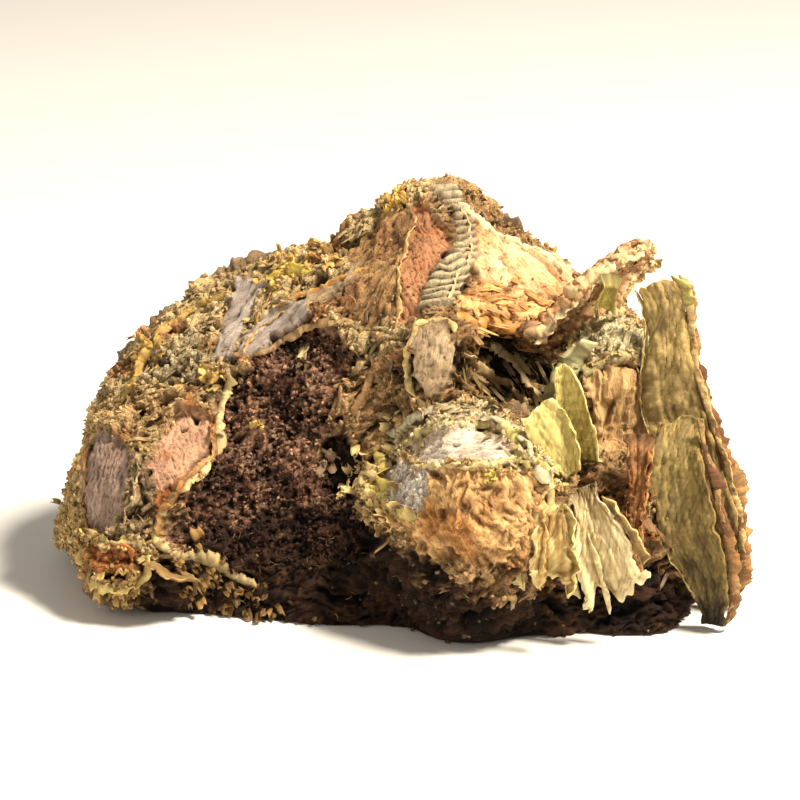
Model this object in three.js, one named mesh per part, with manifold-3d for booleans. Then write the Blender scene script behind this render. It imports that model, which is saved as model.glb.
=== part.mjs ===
// A dried rhodiola root: one chopped piece of the knobbly rhizome, lying on its cut underside, with
// the papery scale leaves and bark sheets that still stand on its right end.
// Millimetres, +Z up, +X to the right of the torn front face and -Y towards it. The origin is at the
// middle of the underside.
import * as THREE from "three";
import { ImprovedNoise } from "three/addons/math/ImprovedNoise.js";
import { mergeVertices } from "three/addons/utils/BufferGeometryUtils.js";
import Module from "manifold-3d";

// Driving dimensions of the whole piece. Every place below is a share of these.
const LENGTH = 98;
const DEPTH = 62;
const HEIGHT = 58;

const SPOKE_ROWS = 14; // subdivisions of the icosahedron whose spokes find the rhizome's surface
const REACH = 90; // longer than any spoke
const BLEND = 4.5; // how softly one swelling runs into the next
const CUT_BLEND = 2.6; // how softly two broken faces meet
const CLEARANCE = 0.4; // air between the rhizome and what stands on it
const UNDERSIDE_TRIM = 12; // height of the slab that cuts the underside flat
const LUMPINESS = [
  { wave: 13, height: 1.5 },
  { wave: 6, height: 0.8 },
];
const PAPER = 0.9; // thickness of a scale leaf with its layers
const BARK_PAPER = 1.3; // thickness of a peeled bark sheet
const Y_AXIS = new THREE.Vector3(0, 1, 0);

const wasm = await Module();
wasm.setup();

// A place from shares: x and y run from -0.5 to 0.5 over the piece, z from 0 to 1.
const at = (x, y, z) => new THREE.Vector3(x * LENGTH, y * DEPTH, z * HEIGHT);
const way = (x, y, z) => new THREE.Vector3(x, y, z).normalize();

// The broken and cut faces that bound the chunk: a point on each, and the way it faces.
const streakedSlope = { on: at(0.045, 0.1, 0.975), facing: way(0.62, -0.5, 0.6) };
const FACES = {
  torn_pith_in_front: { on: at(0, -0.14, 0.6), facing: way(-0.15, -0.93, 0.33) },
  left_cut: { on: at(-0.49, -0.03, 0.24), facing: way(-0.6, -0.62, 0.5) },
  left_end: { on: at(-0.5, -0.03, 0.24), facing: way(-0.95, 0.1, 0.3) },
  fibrous_slope_on_the_left: { on: at(-0.087, 0.13, 0.84), facing: way(-0.46, -0.36, 0.82) },
  streaked_slope_on_the_right: streakedSlope,
  right_shoulder: { on: at(0.345, 0, 0.51), facing: way(0.75, -0.1, 0.65) },
  right_end: { on: at(0.41, 0, 0.3), facing: way(1, -0.05, -0.1) },
  undercut_in_front: { on: at(0, -0.45, 0.07), facing: way(0, -0.8, -0.6) },
  left_undercut: { on: at(-0.47, -0.1, 0.09), facing: way(-0.6, -0.3, -0.74) },
  back_slope_on_the_left: { on: at(0.04, 0.15, 0.97), facing: way(-0.09, 0.8, 0.58) },
  back_slope_on_the_right: { on: at(0.04, 0.15, 0.97), facing: way(0.12, 0.8, 0.58) },
  back: { on: at(0, 0.45, 0.3), facing: way(0.05, 0.99, 0.1) },
  back_right: { on: at(0.33, 0.37, 0.3), facing: way(0.62, 0.75, 0.2) },
  back_left: { on: at(-0.36, 0.34, 0.3), facing: way(-0.55, 0.8, 0.2) },
};

// The swellings that grew out of the chunk: middle, half sizes, how far each leans in degrees, and
// the faces that it was cut or torn along.
const SWELLINGS = {
  peak: {
    middle: at(0.015, 0.09, 0.74),
    half: [10.5, 10.5, 14.5],
    lean: 0,
    cuts: [{ on: at(0.035, 0.07, 0.965), facing: way(-0.66, -0.5, 0.56) }, streakedSlope],
  },
  cut_bud: {
    middle: at(0.095, -0.29, 0.26),
    half: [12.5, 14.5, 19],
    lean: 6,
    cuts: [{ on: at(0.095, -0.42, 0.5), facing: way(0.02, -0.3, 0.95) }],
  },
  stem_scar_boss: { middle: at(0.04, -0.17, 0.61), half: [5.8, 5, 8], lean: 15, cuts: [] },
  left_head: { middle: at(-0.39, -0.06, 0.25), half: [10, 12, 12], lean: 20, cuts: [] },
  left_foot_lobe: { middle: at(-0.4, -0.23, 0.12), half: [6.5, 6, 5.5], lean: 0, cuts: [] },
  stem_stub: {
    middle: at(0.28, -0.07, 0.44),
    half: [6.5, 8, 17],
    lean: 4,
    cuts: [{ on: at(0.28, -0.08, 0.68), facing: way(0.1, -0.3, 0.95) }],
  },
  leaf_crown: { middle: at(0.3, -0.17, 0.17), half: [13, 12.5, 13], lean: 0, cuts: [] },
  back_left_lobe: { middle: at(-0.24, 0.3, 0.3), half: [15, 12, 17], lean: -20, cuts: [] },
  back_middle_lobe: { middle: at(0.08, 0.36, 0.3), half: [14, 9, 18], lean: 10, cuts: [] },
  back_right_lobe: { middle: at(0.3, 0.22, 0.3), half: [12, 13, 17], lean: -8, cuts: [] },
};

// What has broken or rotted out.
const HOLLOWS = {
  under_the_streaked_slope: { middle: at(0.15, -0.17, 0.58), half: [7, 8, 5.5], lean: 25 },
  left_of_the_bud: { middle: at(-0.07, -0.36, 0.38), half: [4, 8, 9], lean: 15 },
  under_the_left_cut: { middle: at(-0.22, -0.42, 0.04), half: [12, 7, 5], lean: 0 },
  beside_the_leaf_crown: { middle: at(0.235, -0.44, 0.1), half: [3.5, 6, 8], lean: -20 },
};

const noise = new ImprovedNoise();

// Signed distance to an ellipsoid that leans sideways, about the y axis.
function toEllipsoid(p, { middle, half, lean }) {
  const q = p.clone().sub(middle).applyAxisAngle(Y_AXIS, THREE.MathUtils.degToRad(-lean));
  const shares = new THREE.Vector3(q.x / half[0], q.y / half[1], q.z / half[2]);
  const slopes = new THREE.Vector3(shares.x / half[0], shares.y / half[1], shares.z / half[2]);
  const share = shares.length();
  return (share * (share - 1)) / Math.max(slopes.length(), 1e-6);
}

// The smaller of two distances, rounded where they meet.
function join(a, b, softness) {
  const near = Math.max(softness - Math.abs(a - b), 0) / softness;
  return Math.min(a, b) - (near * near * softness) / 4;
}
const cut = (a, b, softness) => -join(-a, -b, softness);

const toFace = (p, { on, facing }) => p.clone().sub(on).dot(facing);

function toSwelling(p, swelling) {
  let distance = toEllipsoid(p, swelling);
  for (const face of swelling.cuts) distance = cut(distance, toFace(p, face), CUT_BLEND);
  return distance;
}

// Signed distance from a point to the rhizome's surface, without its flat underside.
function toRhizome(p) {
  let distance = -REACH;
  for (const face of Object.values(FACES)) distance = cut(distance, toFace(p, face), CUT_BLEND);
  for (const swelling of Object.values(SWELLINGS)) distance = join(distance, toSwelling(p, swelling), BLEND);
  for (const hollow of Object.values(HOLLOWS)) distance = cut(distance, -toEllipsoid(p, hollow), CUT_BLEND);
  for (const { wave, height } of LUMPINESS) {
    distance -= height * noise.noise(p.x / wave + 7.3, p.y / wave + 2.1, p.z / wave + 5.7);
  }
  return distance;
}

// The rhizome's surface, or one that stands off it, found along spokes from the heart.
function rhizomeSurface(standOff) {
  const heart = at(0.03, 0, 0.36);
  const sphere = new THREE.IcosahedronGeometry(1, SPOKE_ROWS);
  const places = sphere.getAttribute("position");
  const spoke = new THREE.Vector3();
  for (let i = 0; i < places.count; i++) {
    spoke.fromBufferAttribute(places, i).normalize();
    let reach = REACH;
    let gap = 1;
    while (gap > 0.01 && reach > 1) {
      gap = toRhizome(heart.clone().addScaledVector(spoke, reach)) - standOff;
      reach -= Math.max(gap * 0.6, 0.01);
    }
    const found = heart.clone().addScaledVector(spoke, reach);
    places.setXYZ(i, found.x, found.y, found.z);
  }
  return sphere;
}

// A closed mesh as a solid that can be cut.
function solidOf(geometry) {
  const bare = geometry.clone();
  bare.deleteAttribute("normal");
  bare.deleteAttribute("uv");
  const merged = mergeVertices(bare, 1e-4);
  const vertProperties = Float32Array.from(merged.getAttribute("position").array);
  const triVerts = Uint32Array.from(merged.index.array);
  return new wasm.Manifold(new wasm.Mesh({ numProp: 3, vertProperties, triVerts }));
}

// A solid back as a mesh that can be shown.
function geometryOf(solid) {
  const { vertProperties, triVerts } = solid.getMesh();
  const geometry = new THREE.BufferGeometry();
  geometry.setAttribute("position", new THREE.BufferAttribute(Float32Array.from(vertProperties), 3));
  geometry.setIndex(new THREE.BufferAttribute(Uint32Array.from(triVerts), 1));
  geometry.computeVertexNormals();
  return geometry;
}

const largest = (solid) => solid.decompose().sort((a, b) => b.volume() - a.volume())[0];

// A slab below the surface that the piece lies on.
function groundSlab() {
  const slab = new THREE.BoxGeometry(3 * LENGTH, 3 * DEPTH, UNDERSIDE_TRIM);
  return solidOf(slab.translate(0, 0, -UNDERSIDE_TRIM / 2));
}

// The scale leaves and sheets. Each has a spine from its root to its tip, the way that it is wide
// at the root and at the tip, its half widths along the spine, and how far its edges curl forward,
// as a share of the half width.
const SHEETS = {
  tall_bark_sheet: {
    spine: [at(0.44, -0.22, 0.03), at(0.425, -0.22, 0.28), at(0.4, -0.2, 0.54), at(0.385, -0.15, 0.83)],
    across: [way(0.9, -0.43, 0), way(0.93, -0.35, 0.1)],
    halfWidths: [4.4, 6.2, 5.6, 4.4],
    curl: 0.25,
    thickness: BARK_PAPER,
    colour: "#8d7b45",
  },
  low_bark_sheet: {
    spine: [at(0.41, -0.33, 0.02), at(0.4, -0.34, 0.24), at(0.385, -0.3, 0.52)],
    across: [way(0.95, -0.3, 0), way(0.95, -0.3, -0.1)],
    halfWidths: [4.8, 6.4, 3.2],
    curl: 0.3,
    thickness: BARK_PAPER,
    colour: "#86743f",
  },
  crest_tongue: {
    spine: [at(0.175, -0.04, 0.63), at(0.24, -0.02, 0.75), at(0.34, 0.04, 0.85)],
    across: [way(-0.3, -0.8, 0.5), way(-0.35, -0.5, 0.8)],
    halfWidths: [3.4, 4.4, 2.6],
    curl: -0.5,
    thickness: 2.2,
    colour: "#c98f52",
  },
  under_crest_scale: {
    spine: [at(0.27, -0.07, 0.72), at(0.285, -0.1, 0.8)],
    across: [way(1, 0.1, 0.1), way(1, 0, 0)],
    halfWidths: [2.2, 1.2],
    curl: 0.3,
    thickness: PAPER,
    colour: "#a88c2c",
  },
  upper_yellow_scale: {
    spine: [at(0.245, -0.3, 0.4), at(0.228, -0.33, 0.52), at(0.213, -0.32, 0.665)],
    across: [way(1, -0.2, 0), way(0.95, -0.3, 0.1)],
    halfWidths: [2.4, 3, 2],
    curl: 0.2,
    thickness: PAPER,
    colour: "#c9ad45",
  },
  folded_yellow_scale: {
    spine: [at(0.222, -0.39, 0.4), at(0.2, -0.41, 0.49), at(0.172, -0.4, 0.6)],
    across: [way(0.95, 0.3, 0.1), way(0.9, 0.35, -0.1)],
    halfWidths: [1.4, 2.6, 2.9],
    curl: -0.35,
    thickness: PAPER,
    colour: "#c4a63f",
  },
  fan_scale: {
    spine: [at(0.235, -0.39, 0.38), at(0.262, -0.42, 0.26), at(0.29, -0.43, 0.1)],
    across: [way(1, -0.1, 0.25), way(0.95, -0.1, 0.3)],
    halfWidths: [1.8, 4.2, 5.2],
    curl: -0.2,
    thickness: PAPER,
    colour: "#cbb67b",
  },
  crust_scale: {
    spine: [at(0.185, -0.47, 0.17), at(0.18, -0.48, 0.27), at(0.19, -0.46, 0.37)],
    across: [way(1, -0.1, 0.1), way(1, 0.1, 0.2)],
    halfWidths: [3, 3.2, 1.8],
    curl: 0.25,
    thickness: 1.4,
    colour: "#b98f4a",
  },
  strip_scale: {
    spine: [at(0.32, -0.37, 0.14), at(0.312, -0.36, 0.32), at(0.318, -0.33, 0.49)],
    across: [way(1, -0.2, 0), way(1, -0.3, 0)],
    halfWidths: [1.4, 2.2, 2],
    curl: 0.2,
    thickness: PAPER,
    colour: "#9a6a3a",
  },
  left_lip_scale: {
    spine: [at(-0.31, -0.28, 0.1), at(-0.35, -0.31, 0.13), at(-0.39, -0.335, 0.17)],
    across: [way(0.3, -0.8, 0.2), way(0.3, -0.8, 0.2)],
    halfWidths: [2, 2.6, 1.6],
    curl: 0.3,
    thickness: PAPER,
    colour: "#a8925a",
  },
};

// A bent sheet: a box whose length follows the spine and whose width follows the across direction.
function sheetGeometry({ spine, across, halfWidths, curl, thickness }) {
  const rows = 10;
  const columns = 6;
  const box = new THREE.BoxGeometry(2, 1, 1, columns, 1, rows);
  const places = box.getAttribute("position");
  const line = new THREE.CatmullRomCurve3(spine);
  const widths = new THREE.SplineCurve(halfWidths.map((w, i) => new THREE.Vector2(i, w)));
  for (let i = 0; i < places.count; i++) {
    const along = places.getZ(i) + 0.5;
    const side = places.getX(i);
    const halfWidth = widths.getPoint(along).y;
    const tangent = line.getTangent(along);
    const wide = across[0].clone().lerp(across[1], along);
    wide.addScaledVector(tangent, -wide.dot(tangent)).normalize();
    const outwards = wide.clone().cross(tangent).normalize();
    const place = line
      .getPoint(along)
      .addScaledVector(wide, side * halfWidth)
      .addScaledVector(outwards, places.getY(i) * thickness + curl * halfWidth * side * side);
    places.setXYZ(i, place.x, place.y, place.z);
  }
  return box;
}

// A sheet whose spine runs against its across direction comes out inside out, so its corners are turned.
function facingOut(geometry) {
  const solid = solidOf(geometry);
  if (solid.volume() > 0) return solid;
  const corners = geometry.index.array;
  for (let i = 0; i < corners.length; i += 3) {
    [corners[i + 1], corners[i + 2]] = [corners[i + 2], corners[i + 1]];
  }
  return solidOf(geometry);
}

const root = new THREE.Group();

function show(name, solid, colour, roughness) {
  const material = new THREE.MeshStandardMaterial({ color: colour, roughness, metalness: 0 });
  const mesh = new THREE.Mesh(geometryOf(largest(solid)), material);
  mesh.name = name;
  root.add(mesh);
}

const ground = groundSlab();
show("rhizome", solidOf(rhizomeSurface(0)).subtract(ground), "#6f4a33", 0.95);
const keepClear = solidOf(rhizomeSurface(CLEARANCE)).add(ground);
for (const [name, sheet] of Object.entries(SHEETS)) {
  show(name, facingOut(sheetGeometry(sheet)).subtract(keepClear), sheet.colour, 0.85);
}

// The origin is the middle of the whole box's underside.
const box = new THREE.Box3().setFromObject(root);
const middle = box.getCenter(new THREE.Vector3());
root.position.set(-middle.x, -middle.y, -box.min.z);

export default root;
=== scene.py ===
"""A dried rhodiola root: one chopped piece of rhizome, lying on its cut underside.

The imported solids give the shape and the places. This script grows the fine surface on them: the torn
spongy pith, the cut facets with their golden rims, the streaked and ribbed slopes, the wrinkled bark
behind, and the papery scale leaves and bark sheets at the right end. Relief is worked out in
millimetres, and Blender's own lengths are in metres.
"""

import math

import bpy
import numpy as np
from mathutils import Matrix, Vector


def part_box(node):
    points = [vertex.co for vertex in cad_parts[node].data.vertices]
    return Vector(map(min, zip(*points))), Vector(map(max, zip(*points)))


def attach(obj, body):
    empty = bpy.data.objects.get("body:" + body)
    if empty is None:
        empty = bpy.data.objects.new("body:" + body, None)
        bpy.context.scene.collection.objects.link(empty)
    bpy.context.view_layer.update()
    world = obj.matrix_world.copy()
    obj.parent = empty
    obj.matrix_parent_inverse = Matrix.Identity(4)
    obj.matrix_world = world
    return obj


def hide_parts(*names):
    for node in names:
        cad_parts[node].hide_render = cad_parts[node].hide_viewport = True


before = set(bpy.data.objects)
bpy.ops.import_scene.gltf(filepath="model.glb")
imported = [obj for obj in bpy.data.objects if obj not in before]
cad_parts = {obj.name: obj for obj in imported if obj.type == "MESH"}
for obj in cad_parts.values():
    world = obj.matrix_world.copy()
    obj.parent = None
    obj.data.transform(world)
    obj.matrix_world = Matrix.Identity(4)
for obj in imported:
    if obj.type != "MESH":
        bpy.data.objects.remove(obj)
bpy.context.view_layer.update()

MM = 0.001
SEED = 20
LOOK_DOWN = math.radians(18)  # how far the front view looks down
LOW, HIGH = (np.array(corner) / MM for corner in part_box("rhizome"))
SIZE = HIGH - LOW
FRONT_SIZE = SIZE[[0, 2]]  # mm, the width and height that shares of the front view are of
CLEAR_OF_FLOOR = 0.05  # mm that thin pieces keep above the cut underside

# The front view's own directions: towards the viewer, to the right and up.
TOWARDS = np.array([0, -math.cos(LOOK_DOWN), math.sin(LOOK_DOWN)])
RIGHT = np.array([1.0, 0, 0])
UP = np.array([0, math.sin(LOOK_DOWN), math.cos(LOOK_DOWN)])

BASE_GRAIN = 0.62  # mm between points of the smoothed solid, before it is divided once
SKIN_TRIANGLES = 180_000
FRONT_CARE = 5e-6  # how much longer the front keeps its points than the bark behind
LEAST_SHARE = 0.001  # a finish that counts for less than this at a point is left out


# ---- Colour -------------------------------------------------------------------------------------


def linear(code):
    """An sRGB hex colour as linear red, green and blue."""
    channels = np.array([int(code[n : n + 2], 16) for n in (1, 3, 5)]) / 255
    return np.where(channels <= 0.04045, channels / 12.92, ((channels + 0.055) / 1.055) ** 2.4)


def paint(code):
    """The same colour with a full alpha, for a shader's socket."""
    return (*linear(code), 1.0)


def mixed(dark, light, share):
    """Colours between two, by each point's share of the light one."""
    share = share[:, None]
    return dark * (1 - share) + light * share


# ---- Noise --------------------------------------------------------------------------------------

_draws = np.random.default_rng(SEED)
SLOPES = _draws.normal(size=(256, 3))
SLOPES /= np.linalg.norm(SLOPES, axis=1, keepdims=True)
SCATTER = _draws.random((1024, 3))


def scramble(cell, seed):
    """A large whole number for each cell of a cubic lattice, the same on every run."""
    blend = cell[:, 0] * 374761393 + cell[:, 1] * 668265263 + cell[:, 2] * 1440662683 + seed * 974711
    blend = ((blend ^ (blend >> 13)) * 1274126177) & 0x7FFFFFFF
    return blend ^ (blend >> 15)


def noise(places, seed=0):
    """Smooth noise from about -1 to 1, one wave to each unit of the places."""
    cell = np.floor(places).astype(np.int64)
    part = places - cell
    ease = part * part * part * (part * (part * 6 - 15) + 10)
    total = np.zeros(len(places))
    for corner in np.ndindex(2, 2, 2):
        slope = SLOPES[scramble(cell + corner, seed) & 255]
        share = np.prod(np.where(np.array(corner) == 1, ease, 1 - ease), axis=1)
        total += share * np.einsum("ij,ij->i", slope, part - corner)
    return total * 1.7


def ridges(places, seed=0):
    """Sharp crests at 1 that fall away to 0 between them."""
    return 1 - np.minimum(np.abs(noise(places, seed)) * 2.4, 1)


def warped(places, size, reach, seed):
    """Places pushed about by up to the reach, in waves of the size, so that what is drawn there wanders."""
    return places + reach * np.stack([noise(places / size, seed + n) for n in range(3)], 1)


def cells(places, seed=0):
    """Distances to the nearest and second nearest of scattered seeds, and the nearest one's own number."""
    home = np.floor(places).astype(np.int64)
    nearest = np.full(len(places), 9.0)
    second = nearest.copy()
    own = np.zeros(len(places))
    for offset in np.ndindex(3, 3, 3):
        cell = home + offset - 1
        draw = scramble(cell, seed)
        gap = np.linalg.norm(cell + SCATTER[draw & 1023] - places, axis=1)
        closer = gap < nearest
        second = np.where(closer, nearest, np.minimum(second, gap))
        own = np.where(closer, (draw >> 10 & 1023) / 1023, own)
        nearest = np.minimum(nearest, gap)
    return nearest, second, own


def step(low, high, value):
    """0 below low, 1 above high and a smooth rise between them."""
    share = np.clip((value - low) / (high - low), 0, 1)
    return share * share * (3 - 2 * share)


def unit(vectors):
    """The same directions, each one unit long."""
    return vectors / (np.linalg.norm(vectors, axis=-1, keepdims=True) + 1e-9)


def eased(values, reach):
    """A run of numbers, each averaged with as many neighbours on either side as the reach."""
    window = np.ones(2 * reach + 1) / (2 * reach + 1)
    return np.convolve(np.pad(values, reach, mode="edge"), window, mode="valid")


def gone_along(line):
    """How far along a line each of its points is."""
    return np.concatenate([[0], np.cumsum(np.linalg.norm(np.diff(line, axis=0), axis=1))])


def keep_above_floor(places):
    """Lifts the points that would go through the floor to just above it."""
    places[:, 2] = np.maximum(places[:, 2], LOW[2] + CLEAR_OF_FLOOR)


# ---- Where things are on the front ---------------------------------------------------------------


def seen(places):
    """Places in the front view, as shares: across the rhizome's width, and up it by its height."""
    return np.stack([(places[:, 0] - LOW[0]) / SIZE[0], places @ UP / SIZE[2]], axis=1)


def to_path(points, path, closed):
    """Distance in mm from points in the front view to a path through corners, and what lies inside it."""
    points = points * FRONT_SIZE
    corners = np.array(path) * FRONT_SIZE
    ends = np.roll(corners, -1, axis=0) if closed else corners[1:]
    nearest = np.full(len(points), 1e9)
    inside = np.zeros(len(points), bool)
    for start, end in zip(corners, ends):
        along = end - start
        share = np.clip((points - start) @ along / (along @ along), 0, 1)
        nearest = np.minimum(nearest, np.linalg.norm(points - start - share[:, None] * along, axis=1))
        crosses = (start[1] > points[:, 1]) != (end[1] > points[:, 1])
        rise = end[1] - start[1] if end[1] != start[1] else 1e-9
        inside ^= crosses & (points[:, 0] < (points[:, 1] - start[1]) / rise * along[0] + start[0])
    return nearest, inside


# ---- Relief: each finish gives a height in mm and a tone from 0, dark, to 1, light -----------------
# Each reads places in mm along its own grain: across it, along it, and in depth.


def spongy(grain):
    """Torn pith: a sponge of pits and fine crumbs, with short fibres between them."""
    bent = warped(grain, 2.6, 0.8, 31)
    near, _, own = cells(bent / 1.5, 34)
    pits = step(0.6, 0.1, near) * own
    crumbs = ridges(bent / 0.85, 35)
    fibres = ridges(bent / [0.5, 1.9, 0.65], 36)
    swell = noise(grain / 6.0, 37)
    # Painted shade: the tone is darker in the pits. The crumbs and fibres are lighter in their own colour.
    height = 1.2 * swell - 1.6 * pits + 0.7 * crumbs + 0.6 * fibres
    return height, 0.08 + 0.34 * crumbs + 0.4 * fibres - 0.5 * pits + 0.2 * swell


def crumbly(grain):
    """Torn fibre that runs in wandering strands and small lifted plates, with gaps between them."""
    bent = warped(warped(grain, 8.0, 2.4, 41), 2.4, 0.8, 44)
    strands = ridges(bent / [0.95, 4.6, 1.6], 47)
    fine = ridges(bent / [0.5, 1.7, 0.65], 48)
    gaps = step(0.22, 0.62, noise(bent / [1.7, 4.4, 1.9], 49))
    near, second, own = cells(bent / [2.3, 4.6, 2.3], 50)
    plates = (own - 0.5) * step(0.0, 0.16, second - near)
    swell = noise(grain / 7.0, 51)
    # Painted shade: the tone is darker in the gaps.
    height = 0.9 * swell + 0.75 * strands + 0.5 * fine + 1.5 * plates - 1.5 * gaps
    return height, 0.16 + 0.34 * strands + 0.38 * fine + 0.36 * plates + 0.14 * swell - 0.4 * gaps


def wrinkled(grain):
    """A clean cut that shrank as it dried into fine parallel wavy wrinkles."""
    wave = grain[:, 0] / 0.7 + 1.1 * noise(grain / [3.4, 5.0, 3.4], 52) + 0.45 * noise(grain / 1.3, 53)
    folds = (1 - np.abs(np.sin(math.pi * wave))) ** 2.4
    cracks = ridges(grain / [1.2, 2.6, 1.4], 57) ** 3
    swell = noise(grain / 5.0, 54)
    # Painted shade: the tone is darker in the folds of the wrinkles.
    height = 0.25 * swell - 0.34 * folds + 0.06 * noise(grain / 0.7, 55)
    return height, 0.88 - 0.62 * folds - 0.2 * cracks + 0.15 * swell + 0.1 * noise(grain / 0.9, 56)


def smooth(grain):
    """Old vessel tissue that split away clean: smooth, with faint fine streaks along it."""
    streaks = ridges(grain / [0.55, 7.0, 1.0], 58)
    swell = noise(grain / [2.0, 9.0, 3.0], 59)
    splits = ridges(grain / [1.6, 14.0, 3.0], 60) ** 5
    # Painted shade: the tone is darker in the splits.
    height = 0.25 * swell + 0.08 * streaks - 0.4 * splits
    return height, 0.6 + 0.3 * streaks + 0.3 * swell - 0.5 * splits


def creased(grain):
    """Skin of the bud and its neighbours, shrunk into fine creases that run together and apart."""
    bent = warped(warped(grain, 7.0, 1.8, 83), 2.2, 0.6, 84)
    creases = ridges(bent / [1.1, 3.4, 1.6], 85)
    fine = ridges(bent / [0.5, 1.4, 0.7], 86)
    hollows = step(0.2, 0.65, noise(bent / [2.6, 5.0, 3.0], 87))
    swell = noise(bent / 6.0, 88)
    # Painted shade: the tone is darker in the hollows.
    height = 0.8 * swell + 0.7 * creases + 0.35 * fine - 0.8 * hollows
    return height, 0.2 + 0.42 * creases + 0.34 * fine + 0.3 * swell - 0.35 * hollows


def ribbed(grain):
    """A strip of old vessel tissue with ribs across it."""
    wave = grain[:, 1] / 1.0 + 0.35 * noise(grain / 3.0, 61)
    gaps = (1 - np.abs(np.sin(math.pi * wave))) ** 1.5
    # Painted shade: the tone is darker in the gaps between the ribs.
    height = 0.8 - 0.9 * gaps + 0.3 * noise(grain / 2.2, 62)
    return height, 0.85 - 0.95 * gaps + 0.25 * noise(grain / 0.9, 63)


def streaky(grain):
    """Long torn fibres that lie side by side down a slope."""
    bent = warped(grain, 5.0, 0.9, 71)
    long = ridges(bent / [1.1, 12.0, 1.8], 74)
    fine = ridges(bent / [0.5, 5.0, 0.9], 75)
    swell = noise(bent / [2.6, 15.0, 3.0], 76)
    splits = step(0.3, 0.75, noise(bent / [0.9, 8.0, 1.4], 77))
    # Painted shade: the tone is darker in the splits.
    height = 0.5 * swell + 0.5 * long + 0.35 * fine - 0.9 * splits
    return height, 0.45 + 0.5 * swell + 0.22 * long + 0.25 * fine - 0.6 * splits


def barky(grain):
    """Outer bark: shrunk folds over lobes, with thin plates that lift at their rims."""
    bent = warped(grain, 7.0, 2.2, 91)
    folds = ridges(bent / [5.5, 8.0, 3.2], 94)
    wrinkles = ridges(bent / [1.7, 3.4, 1.1], 95)
    near, second, own = cells(bent / 10.0, 96)
    plates = (own - 0.5) * step(0.0, 0.16, second - near)
    height = 1.5 * folds + 0.7 * wrinkles + 1.6 * plates + 0.3 * noise(grain / 0.9, 97)
    return height, 0.1 + 0.35 * folds + 0.35 * wrinkles + 0.4 * plates + 0.15 * noise(grain / 1.3, 98)


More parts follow.
